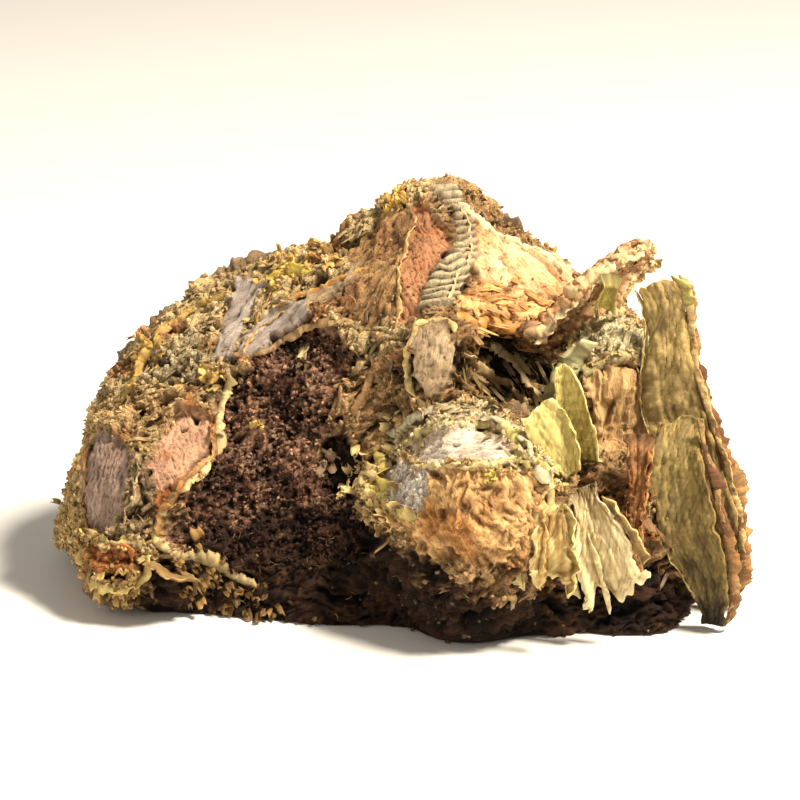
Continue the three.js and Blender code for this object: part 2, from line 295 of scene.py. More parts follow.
# The zones of the front, each laid over those before it. An outline is in shares of the front view.
# grain is the way that the fibres run, in degrees from the right. raised, wander, how far the border
# strays, and rim, how high its torn rim stands, are in mm. patch is a colour that comes and goes, and
# shreds is how thickly torn shreds lie on it.
ZONES = {
    "upper_left_band": dict(
        finish=crumbly, grain=35, dark="#34200d", light="#f2d298", patch="#c2793c",
        outline=[
            (-0.05, 0.3), (-0.02, 0.62), (0.25, 0.9), (0.5, 1.1), (0.6, 0.95), (0.55, 0.6), (0.2, 0.3),
        ],
    ),
    "grey_band_foot": dict(
        finish=crumbly, grain=50, dark="#3a2b18", light="#d8c296", patch="#a28a5e", wander=2.0,
        outline=[(0.1, 0.46), (0.15, 0.56), (0.21, 0.6), (0.25, 0.54), (0.24, 0.48), (0.17, 0.48)],
    ),
    "peak_flank": dict(
        finish=streaky, grain=58, dark="#3a2314", light="#ac8658", patch="#7f5034", raised=0.2, shreds=0.5,
        outline=[
            (0.43, 0.7), (0.46, 0.84), (0.51, 0.93), (0.56, 0.9), (0.55, 0.75), (0.52, 0.62), (0.47, 0.62),
        ],
    ),
    "left_margin": dict(
        finish=crumbly, grain=80, dark="#4b2f17", light="#ecca88", patch="#b27840", rim=0.3,
        outline=[(0.0, 0.12), (0.02, 0.32), (0.06, 0.4), (0.1, 0.34), (0.11, 0.14), (0.05, 0.08)],
    ),
    "crumb_between_cuts": dict(
        finish=crumbly, grain=60, dark="#46331f", light="#b39872", patch="#857258", raised=0.1, wander=0.6,
        outline=[(0.1, 0.32), (0.14, 0.33), (0.16, 0.24), (0.15, 0.15), (0.12, 0.1), (0.09, 0.12)],
    ),
    "orange_crumb": dict(
        finish=crumbly, grain=10, dark="#5d361a", light="#f0cc90", patch="#c4783a", raised=0.6, rim=0.1,
        outline=[
            (0.07, 0.42), (0.11, 0.47), (0.2, 0.48), (0.24, 0.43), (0.18, 0.39), (0.14, 0.31), (0.1, 0.34),
        ],
    ),
    "mauve_cut": dict(
        finish=wrinkled, grain=80, dark="#54402f", light="#a89080", patch="#917564", wander=0.25,
        shreds=0.0,
        outline=[
            (0.046, 0.36), (0.07, 0.38), (0.115, 0.33), (0.122, 0.27), (0.105, 0.16), (0.085, 0.11),
            (0.055, 0.12), (0.04, 0.23),
        ],
    ),
    "orange_edge": dict(
        finish=crumbly, grain=60, dark="#7a4220", light="#cc8648", patch="#b5622c", wander=0.5, raised=0.3,
        outline=[
            (0.235, 0.42), (0.256, 0.37), (0.245, 0.29), (0.19, 0.22), (0.16, 0.17), (0.15, 0.21),
            (0.22, 0.3),
        ],
    ),
    "pink_cut": dict(
        finish=wrinkled, grain=-65, dark="#5a3524", light="#c39a7a", patch="#bd7c4e", wander=0.25,
        shreds=0.0,
        outline=[
            (0.19, 0.43), (0.225, 0.43), (0.243, 0.38), (0.232, 0.31), (0.2, 0.265), (0.165, 0.225),
            (0.145, 0.285), (0.16, 0.35),
        ],
    ),
    "foot_lobe": dict(
        finish=crumbly, grain=5, dark="#6a3a1d", light="#d09c60", patch="#b26a38", raised=0.4, rim=0.5,
        outline=[(0.03, 0.13), (0.08, 0.1), (0.14, 0.1), (0.15, 0.04), (0.1, 0.0), (0.04, 0.04)],
    ),
    "pith": dict(
        finish=spongy, grain=40, dark="#240f08", light="#b4886a", patch="#6a4431", raised=-1.2, wander=2.0,
        shreds=0.1,
        outline=[
            (0.26, 0.52), (0.32, 0.59), (0.38, 0.65), (0.42, 0.64), (0.455, 0.56), (0.45, 0.48),
            (0.43, 0.42), (0.41, 0.35), (0.42, 0.24), (0.48, 0.15), (0.46, 0.04), (0.3, 0.02), (0.18, 0.08),
            (0.19, 0.2), (0.24, 0.32), (0.255, 0.43),
        ],
    ),
    # The lower pith, much darker than the pith above it: painted shade low down.
    "pith_foot": dict(
        finish=spongy, grain=20, dark="#0e0502", light="#4a2a18", patch="#1e0e07", raised=-1.4, wander=3.0,
        shreds=0.1,
        outline=[(0.2, 0.1), (0.3, 0.16), (0.42, 0.18), (0.5, 0.14), (0.5, 0.02), (0.3, 0.0), (0.2, 0.04)],
    ),
    # A sunken cleft by the bud: its near-black colours are painted shade in the recess.
    "bud_cleft": dict(
        finish=spongy, grain=40, dark="#160a05", light="#5d3a26", patch="#27130a", raised=-2.0, wander=0.8,
        shreds=0.0,
        outline=[(0.4, 0.35), (0.44, 0.37), (0.47, 0.31), (0.45, 0.22), (0.42, 0.19), (0.41, 0.26)],
    ),
    # The foot's own dark brown, darkened much further with painted shade low down.
    "foot_in_painted_shade": dict(
        finish=crumbly, grain=12, dark="#0a0402", light="#422a18", patch="#1a0d07", raised=-0.8, wander=3.0,
        shreds=0.3,
        outline=[
            (0.15, 0.03), (0.26, 0.08), (0.4, 0.07), (0.5, 0.12), (0.56, 0.05), (0.66, -0.03), (1.0, 0.06),
            (1.0, -0.3), (0.05, -0.3),
        ],
    ),
    "grey_strip_high": dict(
        finish=smooth, grain=62, dark="#54463c", light="#b4a69a", patch="#93857a", raised=0.9, wander=0.25,
        shreds=0.0,
        outline=[(0.275, 0.755), (0.325, 0.745), (0.3, 0.68), (0.268, 0.55), (0.242, 0.55), (0.262, 0.67)],
    ),
    "grey_strip_low": dict(
        finish=smooth, grain=38, dark="#54463c", light="#b4a69a", patch="#93857a", raised=0.8, wander=0.2,
        shreds=0.0,
        outline=[
            (0.388, 0.7), (0.33, 0.665), (0.292, 0.61), (0.276, 0.555), (0.3, 0.555), (0.345, 0.61),
            (0.39, 0.665),
        ],
    ),
    "tan_strip": dict(
        finish=streaky, grain=40, dark="#6b5139", light="#bba682", patch="#98866a", raised=0.6, wander=0.4,
        shreds=0.0,
        outline=[(0.38, 0.71), (0.42, 0.74), (0.46, 0.79), (0.47, 0.76), (0.43, 0.7), (0.39, 0.685)],
    ),
    "striped_face": dict(
        finish=wrinkled, grain=-60, dark="#54301c", light="#b8845e", patch="#b4622f", raised=0.1,
        wander=0.6, shreds=0.1,
        outline=[
            (0.55, 0.93), (0.575, 0.93), (0.6, 0.85), (0.585, 0.79), (0.56, 0.72), (0.55, 0.62),
            (0.52, 0.63), (0.53, 0.78),
        ],
    ),
    "streaked_slope": dict(
        finish=streaky, grain=-42, dark="#8f5428", light="#dfc294", patch="#cf9460", raised=0.2,
        shreds=0.08,
        outline=[
            (0.615, 0.93), (0.67, 0.86), (0.75, 0.83), (0.8, 0.77), (0.79, 0.69), (0.73, 0.7), (0.66, 0.72),
            (0.62, 0.78), (0.63, 0.86),
        ],
    ),
    "slope_tongues": dict(
        finish=streaky, grain=-12, dark="#8a4e24", light="#dcb078", patch="#cc8446", raised=0.7, shreds=0.3,
        outline=[(0.61, 0.72), (0.66, 0.74), (0.74, 0.72), (0.78, 0.66), (0.7, 0.64), (0.6, 0.66)],
    ),
    "ladder_strip": dict(
        finish=ribbed, grain=-80, dark="#2e2318", light="#b4a482", patch="#8a785c", raised=0.4, wander=0.4,
        shreds=0.0,
        outline=[
            (0.575, 0.99), (0.61, 0.97), (0.635, 0.88), (0.64, 0.81), (0.62, 0.74), (0.6, 0.67),
            (0.555, 0.67), (0.57, 0.76), (0.605, 0.82), (0.6, 0.9),
        ],
    ),
    # The hollow under the slope: its near-black colours are painted shade under it.
    "under_slope": dict(
        finish=crumbly, grain=-48, dark="#120804", light="#9d7a50", patch="#2c1a10", raised=-1.4,
        wander=1.2, shreds=0.5,
        outline=[
            (0.6, 0.55), (0.66, 0.63), (0.77, 0.63), (0.79, 0.5), (0.75, 0.41), (0.68, 0.42), (0.61, 0.48),
        ],
    ),
    "stem_scar": dict(
        finish=wrinkled, grain=75, dark="#54402c", light="#bda482", patch="#96805f", raised=0.5,
        wander=0.25, shreds=0.0,
        outline=[
            (0.545, 0.59), (0.56, 0.635), (0.59, 0.635), (0.605, 0.57), (0.6, 0.49), (0.57, 0.45),
            (0.545, 0.51),
        ],
    ),
    "bud_side": dict(
        finish=creased, grain=-62, dark="#5c3819", light="#e4b87c", patch="#cc8a4c", raised=0.2, wander=1.6,
        shreds=0.2,
        outline=[
            (0.5, 0.28), (0.6, 0.31), (0.72, 0.29), (0.76, 0.2), (0.76, 0.1), (0.68, 0.06), (0.6, 0.06),
            (0.52, 0.13),
        ],
    ),
    "bud_brow": dict(
        finish=crumbly, grain=15, dark="#75592f", light="#f0dcae", patch="#d0b884", raised=0.2, wander=0.8,
        rim=0.3,
        outline=[
            (0.49, 0.3), (0.52, 0.39), (0.58, 0.44), (0.65, 0.43), (0.71, 0.37), (0.75, 0.24), (0.71, 0.28),
            (0.56, 0.3),
        ],
    ),
    "bud_lump": dict(
        finish=wrinkled, grain=70, dark="#94806c", light="#efe6da", patch="#d4c4b2", raised=0.9, wander=0.6,
        outline=[(0.505, 0.25), (0.53, 0.3), (0.565, 0.28), (0.572, 0.22), (0.545, 0.18), (0.51, 0.19)],
    ),
    "bud_top": dict(
        finish=wrinkled, grain=8, dark="#8e745c", light="#e0d0be", patch="#ccae90", raised=0.1, wander=0.8,
        shreds=0.1,
        outline=[
            (0.54, 0.32), (0.57, 0.36), (0.62, 0.375), (0.67, 0.36), (0.695, 0.32), (0.63, 0.295),
            (0.57, 0.29),
        ],
    ),
    "stub_side": dict(
        finish=streaky, grain=88, dark="#5d4122", light="#cda672", patch="#a67c4c", raised=0.2, wander=0.5,
        shreds=0.1,
        outline=[(0.81, 0.52), (0.86, 0.54), (0.91, 0.51), (0.92, 0.42), (0.9, 0.31), (0.82, 0.32)],
    ),
    "stub_top": dict(
        finish=creased, grain=60, dark="#8d7a4a", light="#eaddb0", patch="#cfbf8a", raised=0.3, wander=0.9,
        rim=0.3,
        outline=[
            (0.78, 0.52), (0.79, 0.63), (0.84, 0.68), (0.89, 0.62), (0.91, 0.53), (0.86, 0.55),
            (0.81, 0.53),
        ],
    ),
}
ZONE_DEFAULTS = dict(raised=0.0, wander=1.2, rim=0.0, shreds=1.0)
FRONT = dict(finish=crumbly, grain=30, dark="#32200f", light="#d2a874", patch="#8c6238", raised=0.0)
BARK = dict(finish=barky, grain=0, dark="#231a14", light="#89755f", patch="#8f5c38", raised=0.0)

# Small holes, sunk into the surface and darkened with painted shade, each with its middle in shares of
# the front view and its radius in mm.
HOLES = [
    ((0.215, 0.4), 0.7), ((0.197, 0.375), 0.35), ((0.5, 0.2), 0.5), ((0.335, 0.6), 0.9), ((0.25, 0.5), 0.6),
]

GOLD = linear("#d3b26c")
PALE_GOLD = linear("#e3cf94")
OLIVE_GOLD = linear("#b9a864")
RIM_WIDTH = 0.45  # mm


def along_grain(places, degrees):
    """Places as mm across the grain, along it and in depth, for a grain that runs so on the front."""
    turn = math.radians(degrees)
    along = math.cos(turn) * RIGHT + math.sin(turn) * UP
    across = -math.sin(turn) * RIGHT + math.cos(turn) * UP
    return places @ np.stack([across, along, TOWARDS], axis=1)


def finish_of(places, look):
    """Height, colour, grain and fibre direction of one finish at every place."""
    grain = along_grain(places, look["grain"])
    height, tone = look["finish"](grain)
    tone = np.clip(tone, 0, 1)
    patch = step(0.05, 0.55, noise(places / 5.5, 12) + 0.35 * noise(places / 1.6, 18))
    light = mixed(linear(look["light"]), linear(look["patch"]), 0.75 * patch)
    turn = math.radians(look["grain"]) + 0.9 * noise(places / 8.0, 19)
    flow = np.cos(turn)[:, None] * RIGHT + np.sin(turn)[:, None] * UP
    return height + look["raised"], mixed(linear(look["dark"]), light, tone), grain, flow


def grow_surface(places, normals):
    """Everything that the rhizome's skin holds at each point: relief, colour, grain, rim and fibre run."""
    facing = normals @ TOWARDS
    front = step(-0.25, 0.1, facing + 0.2 * noise(places / 7.0, 11))
    height, colour, grain, flow = finish_of(places, BARK)
    near, second, _ = cells(warped(places, 7.0, 2.2, 91) / 10.0, 96)
    rim = 0.6 * step(0.13, 0.03, second - near) * step(-0.1, 0.5, noise(places / 4.0, 13))

    def lay(look, share):
        """Lays one finish over what is there, as strongly as its share at each point."""
        chosen = share > LEAST_SHARE
        values = finish_of(places[chosen], look)
        weight = share[chosen]
        height[chosen] += weight * (values[0] - height[chosen])
        colour[chosen] += weight[:, None] * (values[1] - colour[chosen])
        mostly = weight[:, None] > 0.5
        grain[chosen] = np.where(mostly, values[2], grain[chosen])
        flow[chosen] = np.where(mostly, values[3], flow[chosen])

    lay(FRONT, front)
    rim *= 1 - front
    spots = seen(places)
    loose = front.copy()
    stray = noise(places / 3.4, 14) + 0.6 * noise(places / 1.3, 15)
    for look in ZONES.values():
        look = ZONE_DEFAULTS | look
        gap, inside = to_path(spots, look["outline"], closed=True)
        gap = np.where(inside, -gap, gap) + look["wander"] * stray
        soft = 0.15 + 0.35 * look["wander"]
        lay(look, front * step(soft, -soft, gap))
        rim = np.where(gap < 0, rim * step(-1.0, 0, gap), rim)
        rim = np.maximum(rim, look["rim"] * front * np.exp(-((gap / RIM_WIDTH) ** 2)))
        loose += front * step(soft, -soft, gap) * (look["shreds"] - loose)

    ragged = np.clip(0.5 + 0.5 * noise(places / 0.9, 16) + 0.35 * noise(places / 2.2, 20), 0, 1)
    torn_rim = rim * step(0.15, 0.6, ragged)
    height += torn_rim * (0.35 + 0.9 * ragged)
    gold = mixed(GOLD, PALE_GOLD, step(0.1, 0.5, noise(places / 3.0, 17)))
    gold = mixed(gold, OLIVE_GOLD, step(0.15, 0.5, noise(places / 5.0, 18)))
    shown = np.minimum(torn_rim * 1.6, 0.9)
    colour += shown[:, None] * (gold * (0.45 + 0.75 * ragged[:, None]) - colour)
    for middle, radius in HOLES:
        gap = np.linalg.norm((spots - middle) * FRONT_SIZE, axis=1) + 0.15 * stray
        hole = front * step(radius, 0.5 * radius, gap)
        height -= 1.8 * hole
        # The holes are darkened: painted shade.
        colour *= 1 - 0.85 * hole[:, None]
    return height, colour, grain, flow, np.minimum(torn_rim, 1), loose


# ---- Meshes -------------------------------------------------------------------------------------


def piece(name, places, faces, smooth=True):
    """A shown mesh from places in mm."""
    mesh = bpy.data.meshes.new(name)
    mesh.from_pydata((np.asarray(places) * MM).tolist(), [], [list(face) for face in faces])
    if smooth:
        mesh.shade_smooth()
    shown = bpy.data.objects.new(name, mesh)
    bpy.context.scene.collection.objects.link(shown)
    return shown


def keep(mesh, name, values):
    """Stores one number, place or colour for each point of a mesh, for its material to read."""
    kind, key = ("FLOAT", "value") if values.ndim == 1 else ("FLOAT_VECTOR", "vector")
    mesh.attributes.new(name, kind, "POINT").data.foreach_set(key, values.astype(np.float32).ravel())


def read(mesh, name="position", width=3):
    """One of a mesh's attributes as an array."""
    values = np.empty(len(mesh.vertices) * width, np.float32)
    mesh.attributes[name].data.foreach_get("vector" if width == 3 else "value", values)
    return (values.reshape(-1, width) if width > 1 else values).astype(float)


def modified(shown, *modifiers):
    """Runs modifiers over a mesh and keeps the result."""
    for kind, settings in modifiers:
        modifier = shown.modifiers.new(kind, kind)
        for setting, value in settings.items():
            setattr(modifier, setting, value)
    evaluated = shown.evaluated_get(bpy.context.evaluated_depsgraph_get())
    mesh = bpy.data.meshes.new_from_object(evaluated)
    shown.modifiers.clear()
    shown.data = mesh
    return mesh


def rhizome_skin():
    """The rhizome with its fine relief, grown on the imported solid. The torn front keeps more points."""
    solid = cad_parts["rhizome"].data.copy()
    solid.materials.clear()
    skin = bpy.data.objects.new("rhizome_skin", solid)
    bpy.context.scene.collection.objects.link(skin)
    mesh = modified(
        skin,
        ("REMESH", dict(mode="VOXEL", voxel_size=BASE_GRAIN * MM, use_smooth_shade=True)),
        ("SMOOTH", dict(factor=0.5, iterations=14)),
        ("SUBSURF", dict(levels=1)),
    )
    places = read(mesh) / MM
    normals = np.empty(places.size, np.float32)
    mesh.vertex_normals.foreach_get("vector", normals)
    normals = normals.reshape(-1, 3).astype(float)
    height, colour, grain, flow, rim, loose = grow_surface(places, normals)
    pressed = step(3.0, 0.4, places[:, 2] - LOW[2]) * step(0.3, 0.8, -normals[:, 2])
    free = (1 - pressed)[:, None]
    jitter = warped(places, 1.2, 0.3, 21) - places
    grown = places + (normals * height[:, None] + jitter) * free
    grown[:, 2] = np.maximum(grown[:, 2], LOW[2])
    mesh.attributes["position"].data.foreach_set("vector", (grown * MM).astype(np.float32).ravel())
    for name, values in {
        "tint": colour,
        "grain": grain,
        "flow": flow,
        # Painted shade: darker where the relief sinks.
        "painted_hollow_shade": step(0.5, -1.8, height),
        "rim": rim,
        "loose": loose,
        "smooth_normal": normals,
    }.items():
        keep(mesh, name, values)
    on_front = normals @ TOWARDS > -0.15  # and a little way round the sides
    plain = skin.vertex_groups.new(name="plain")
    plain.add(np.flatnonzero(on_front).tolist(), 0.01, "REPLACE")
    plain.add(np.flatnonzero(~on_front).tolist(), 1.0, "REPLACE")
    share = SKIN_TRIANGLES / (2 * len(mesh.polygons))
    if share < 1:
        thinning = dict(
            ratio=share, use_collapse_triangulate=True, vertex_group="plain", vertex_group_factor=FRONT_CARE
        )
        mesh = modified(skin, ("DECIMATE", thinning))
    mesh.shade_smooth()
    return skin


# ---- Materials ----------------------------------------------------------------------------------


def node(tree, kind, settings=None, inputs=None):
    """Adds a node with its settings and its inputs: plain values, another node's output, or another node,
    for its first output."""
    made = tree.nodes.new(kind)
    for name, value in (settings or {}).items():
        setattr(made, name, value)
    for name, value in (inputs or {}).items():
        if isinstance(value, bpy.types.Node):
            tree.links.new(value.outputs[0], made.inputs[name])
        elif isinstance(value, bpy.types.NodeSocket):
            tree.links.new(value, made.inputs[name])
        else:
            made.inputs[name].default_value = value
    return made


def new_material(name):
    """An empty node material and its tree."""
    material = bpy.data.materials.new(name)
    material.use_nodes = True
    material.node_tree.nodes.clear()
    return material, material.node_tree


def air_dried_rhizome():
    """Air-dried rhizome, torn and cut: quite matt, with fibres along the grain and a fine crumb, each with
    thin crests in their own lighter colour, with painted shade in the dips and in its hollows."""
    material, tree = new_material("air-dried rhizome")
    grain = node(tree, "ShaderNodeAttribute", {"attribute_name": "grain"})
    stretch = {0: grain, 1: (1 / 0.4, 1 / 2.6, 1 / 0.6)}
    along = node(tree, "ShaderNodeVectorMath", {"operation": "MULTIPLY"}, stretch)
    spot = node(tree, "ShaderNodeTexCoord").outputs["Object"]
    place = node(tree, "ShaderNodeVectorMath", {"operation": "SCALE"}, {0: spot, "Scale": 1 / (0.7 * MM)})
    painted_hollow_shade = node(tree, "ShaderNodeAttribute", {"attribute_name": "painted_hollow_shade"})
    loose = node(tree, "ShaderNodeAttribute", {"attribute_name": "loose"})
    # Darker where the relief sinks, in its hollows: painted shade.
    tone = node(tree, "ShaderNodeMapRange", inputs={"Value": painted_hollow_shade, "To Min": 1.1, "To Max": 0.28})
    relief = {}
    for vector, calmest in ((along, 0.6), (place, 0.25)):
        waves = {"Vector": vector, "Scale": 1.0, "Detail": 5.0, "Roughness": 0.62}
        noise_waves = node(tree, "ShaderNodeTexNoise", inputs=waves)
        around = {"Value": noise_waves, "From Min": 0.3, "From Max": 0.7, "To Min": -1.0}
        middle = node(tree, "ShaderNodeMapRange", inputs=around)
        dips = node(tree, "ShaderNodeMath", {"operation": "ABSOLUTE"}, {0: middle})
        # Lighter on the crests, the fibres' own colour, and darker in the dips: painted shade in the fine
        # relief.
        light = {"Value": dips, "From Min": 0.32, "From Max": 0.68, "To Min": 1.28, "To Max": 0.62}
        share = node(tree, "ShaderNodeMapRange", inputs={"Value": loose, "To Min": calmest})
        plain = node(tree, "ShaderNodeMath", {"operation": "SUBTRACT"}, {0: 1.0, 1: share})
        lights = {0: node(tree, "ShaderNodeMapRange", inputs=light), 1: share, 2: plain}
        tones = {0: tone, 1: node(tree, "ShaderNodeMath", {"operation": "MULTIPLY_ADD"}, lights)}
        tone = node(tree, "ShaderNodeMath", {"operation": "MULTIPLY"}, tones)
        relief |= {"Height": dips, "Distance": 0.3 * MM, "Strength": share}
        relief["Normal"] = node(tree, "ShaderNodeBump", {"invert": True}, relief)
    tint = node(tree, "ShaderNodeAttribute", {"attribute_name": "tint"})
    surface = {
        "Base Color": node(tree, "ShaderNodeVectorMath", {"operation": "SCALE"}, {0: tint, "Scale": tone}),
        "Roughness": 0.88,
        "Specular IOR Level": 0.25,
        "Normal": relief["Normal"],
    }
    finish = node(tree, "ShaderNodeBsdfPrincipled", inputs=surface)
    node(tree, "ShaderNodeOutputMaterial", inputs={"Surface": finish})
    return material


def dried_leaf(name, roughness, glow, vein, relief, contrast):
    """Dried leafy tissue: veins along it and a dry crinkle, with a faint sheen, and thin enough in places
    for light to glow through. vein is the width of a vein in mm, relief its depth in mm, and contrast how
    far it darkens and lightens the colour."""
    material, tree = new_material(name)
    grain = node(tree, "ShaderNodeAttribute", {"attribute_name": "grain"})
    tone = node(tree, "ShaderNodeAttribute", {"attribute_name": "tint"})
    bump = {}
    for waves, share in (((vein, 8 * vein, 1.0), 1.0), ((1.5, 1.5, 1.5), 0.4), ((0.6, 0.6, 0.6), 0.6)):
        stretch = {0: grain, 1: waves}
        place = node(tree, "ShaderNodeVectorMath", {"operation": "DIVIDE"}, stretch)
        crinkle = {"Vector": place, "Scale": 1.0, "Detail": 6.0, "Roughness": 0.65}
        marks = node(tree, "ShaderNodeTexNoise", inputs=crinkle)
        shade = {"Value": marks, "From Min": 0.32, "From Max": 0.68}
        shade |= {"To Min": 1 - contrast * share, "To Max": 1 + contrast * share}
        light = node(tree, "ShaderNodeMapRange", inputs=shade)
        tone = node(tree, "ShaderNodeVectorMath", {"operation": "SCALE"}, {0: tone, "Scale": light})
        bump |= {"Height": marks, "Strength": 0.8, "Distance": relief * share * MM}
        bump["Normal"] = node(tree, "ShaderNodeBump", inputs=bump)
    surface = {
        "Base Color": tone,
        "Roughness": roughness,
        "Specular IOR Level": 0.35,
        "Subsurface Weight": glow,
        "Subsurface Radius": (1.0, 0.7, 0.3),
        "Subsurface Scale": 0.5 * MM,
        "Normal": bump["Normal"],
    }
    finish = node(tree, "ShaderNodeBsdfPrincipled", inputs=surface)
    node(tree, "ShaderNodeOutputMaterial", inputs={"Surface": finish})
    return material


# Scale leaf has a faint sheen and glows a little where it is thin. Peeled bark is duller, with coarser
# veins and more broken tone. Torn fibre is quite matt, with fine veins.
SCALE_LEAF = dried_leaf("dry scale leaf", roughness=0.55, glow=0.25, vein=0.5, relief=0.2, contrast=0.2)
PEELED_BARK = dried_leaf("peeled papery bark", roughness=0.7, glow=0.0, vein=0.7, relief=0.3, contrast=0.4)
TORN_FIBRE = dried_leaf("torn dry fibre", roughness=0.85, glow=0.0, vein=0.35, relief=0.3, contrast=0.45)


# ---- The rhizome --------------------------------------------------------------------------------


def finished(shown, material, slot, *nodes):
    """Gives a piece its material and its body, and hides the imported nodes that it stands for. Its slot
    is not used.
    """
    shown.data.materials.append(material)
    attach(shown, "root")
    if nodes:
        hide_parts(*nodes)


skin = rhizome_skin()
finished(skin, air_dried_rhizome(), "dried_pith_and_bark", "rhizome")


# ---- Thin torn pieces ----------------------------------------------------------------------------
# Each is worked out as a Patch: points in mm, faces, and a colour and grain for every point.


class Patch:
    """One thin piece, or many alike, before it becomes part of a shown mesh."""

    def __init__(self, places, faces, tint, grain):
        self.places, self.faces, self.tint, self.grain = places, faces, tint, grain


def joined(name, patches, material, slot, *nodes, smooth=True):
    """One shown piece from patches that lie side by side."""
    starts = np.cumsum([0] + [len(patch.places) for patch in patches])
    faces = [list(face) for patch, start in zip(patches, starts) for face in patch.faces + start]
    shown = piece(name, np.concatenate([patch.places for patch in patches]), faces, smooth)
    keep(shown.data, "tint", np.concatenate([patch.tint for patch in patches]))
    keep(shown.data, "grain", np.concatenate([patch.grain for patch in patches]))
    finished(shown, material, slot, *nodes)


def closed_sheet(columns, rows):
    """Faces of a thin closed sheet: a front grid, a back grid and the rim between them."""

    def corner(row, column, back):
        return back * columns * rows + row * columns + column

    faces = []
    for row in range(rows - 1):
        for column in range(columns - 1):
            quad = [(row, column), (row, column + 1), (row + 1, column + 1), (row + 1, column)]
            faces.append([corner(*c, 0) for c in quad])
            faces.append([corner(*c, 1) for c in reversed(quad)])
    loop = [(0, c) for c in range(columns)] + [(r, columns - 1) for r in range(1, rows)]
    loop += [(rows - 1, c) for c in range(columns - 2, -1, -1)] + [(r, 0) for r in range(rows - 2, 0, -1)]
    for here, there in zip(loop, loop[1:] + loop[:1]):
        faces.append([corner(*there, 0), corner(*here, 0), corner(*here, 1), corner(*there, 1)])
    return np.array(faces)


def shell(middle, rows, columns, thickness):
    """A closed thin sheet, as points, on both sides of a grid of places."""
    grid = middle.reshape(rows, columns, 3)
    normal = unit(np.cross(np.gradient(grid, axis=1), np.gradient(grid, axis=0))).reshape(-1, 3)
    half = normal * thickness[:, None] / 2
    places = np.concatenate([middle + half, middle - half])
    keep_above_floor(places)
    return places, normal


class Ground:
    """A surface that small pieces grow from, point by point, in mm."""

    def __init__(self, places, normals, tint, flow, rim):
        self.places, self.normals, self.tint, self.flow, self.rim = places, unit(normals), tint, flow, rim
        self.spots = seen(self.places) * FRONT_SIZE
        self.front = step(-0.1, 0.2, self.normals @ TOWARDS)

    def near(self, spot, radius):
        """How strongly each point is near a spot in the front view, within a radius in mm."""
        gap = np.linalg.norm(self.spots - np.array(spot) * FRONT_SIZE, axis=1)
        return self.front * np.exp(-((gap / radius) ** 2)) * (gap < 2.2 * radius)


def pick(weights, count):
    """So many different points, drawn by their weights."""
    weights = np.maximum(weights, 0)
    count = min(count, int((weights > 0).sum()))
    return draws.choice(len(weights), count, replace=False, p=weights / weights.sum())


SCRAP_THICKNESS = 0.14  # mm


def scraps(ground, chosen, sizes, colours, headings=None, lean=(0.2, 1.0), breadth=1.0, columns=5, rows=4):
    """Torn scraps of dry tissue, rooted in the surface, that curl away from it and end in a ragged edge.
    lean is the range of how far they lie over at the root, in radians from upright, and breadth how wide
    they are for their length. They lie over along their headings, or any way when there are none."""
    count = len(chosen)
    normal = ground.normals[chosen]
    headings = draws.normal(size=(count, 3)) if headings is None else headings
    side = unit(np.cross(normal, headings))
    out = np.cross(side, normal)
    length = sizes * draws.uniform(0.7, 1.3, count)
    width = sizes * breadth * draws.uniform(0.6, 1.5, count)
    lying = draws.uniform(*lean, count)
    curl = draws.normal(0, 0.9, count) * (1.6 - lying)
    ruffle = width * draws.uniform(0.05, 0.25, count)
    phase = draws.uniform(0, math.tau, (count, 1))
    ripples = draws.uniform(2.5, 6.0, (count, 1))
    ragged = draws.uniform(0.7, 1.15, (count, columns))
    across = np.linspace(-1, 1, columns)
    front = np.empty((count, rows, columns, 3))
    back = np.empty_like(front)
    reached = ground.places[chosen] - normal * 0.3
    for row in range(rows):
        up = row / (rows - 1)
        angle = (lying + curl * up)[:, None]
        heading = normal * np.cos(angle) + out * np.sin(angle)
        face = np.cross(side, heading)
        spread_out = (width / 2 * (0.75 + 0.5 * up - 0.55 * up * up))[:, None]
        if row:
            reached = reached + heading * (length / (rows - 1))[:, None]
        lag = (ragged - 1) * up**2 * length[:, None]
        wave = (ruffle * up)[:, None] * np.sin(ripples * across + phase)
        here = (
            reached[:, None]
            + side[:, None] * (spread_out * across)[:, :, None]
            + heading[:, None] * lag[:, :, None]
            + face[:, None] * wave[:, :, None]
        )
        half = face[:, None] * SCRAP_THICKNESS / 2 * (1 - 0.5 * up)
        front[:, row] = here + half
        back[:, row] = here - half
    each = 2 * rows * columns
    places = np.stack([front, back], axis=1).reshape(-1, 3)
    keep_above_floor(places)
    faces = (closed_sheet(columns, rows) + each * np.arange(count)[:, None, None]).reshape(-1, 4)
    rise = np.tile(np.repeat(np.linspace(0, 1, rows), columns), 2 * count)
    run = np.tile(across, 2 * rows * count)
    # Darker towards the root, where a scrap meets the surface: painted shade.
    tint = np.repeat(colours, each, axis=0) * (0.5 + 0.6 * rise)[:, None]
    grain = np.stack([run * 1.5, rise * 4, np.repeat(phase[:, 0] * 9, each)], axis=1)
    return Patch(places, faces, tint, grain)


FIBRE_STEPS = 6


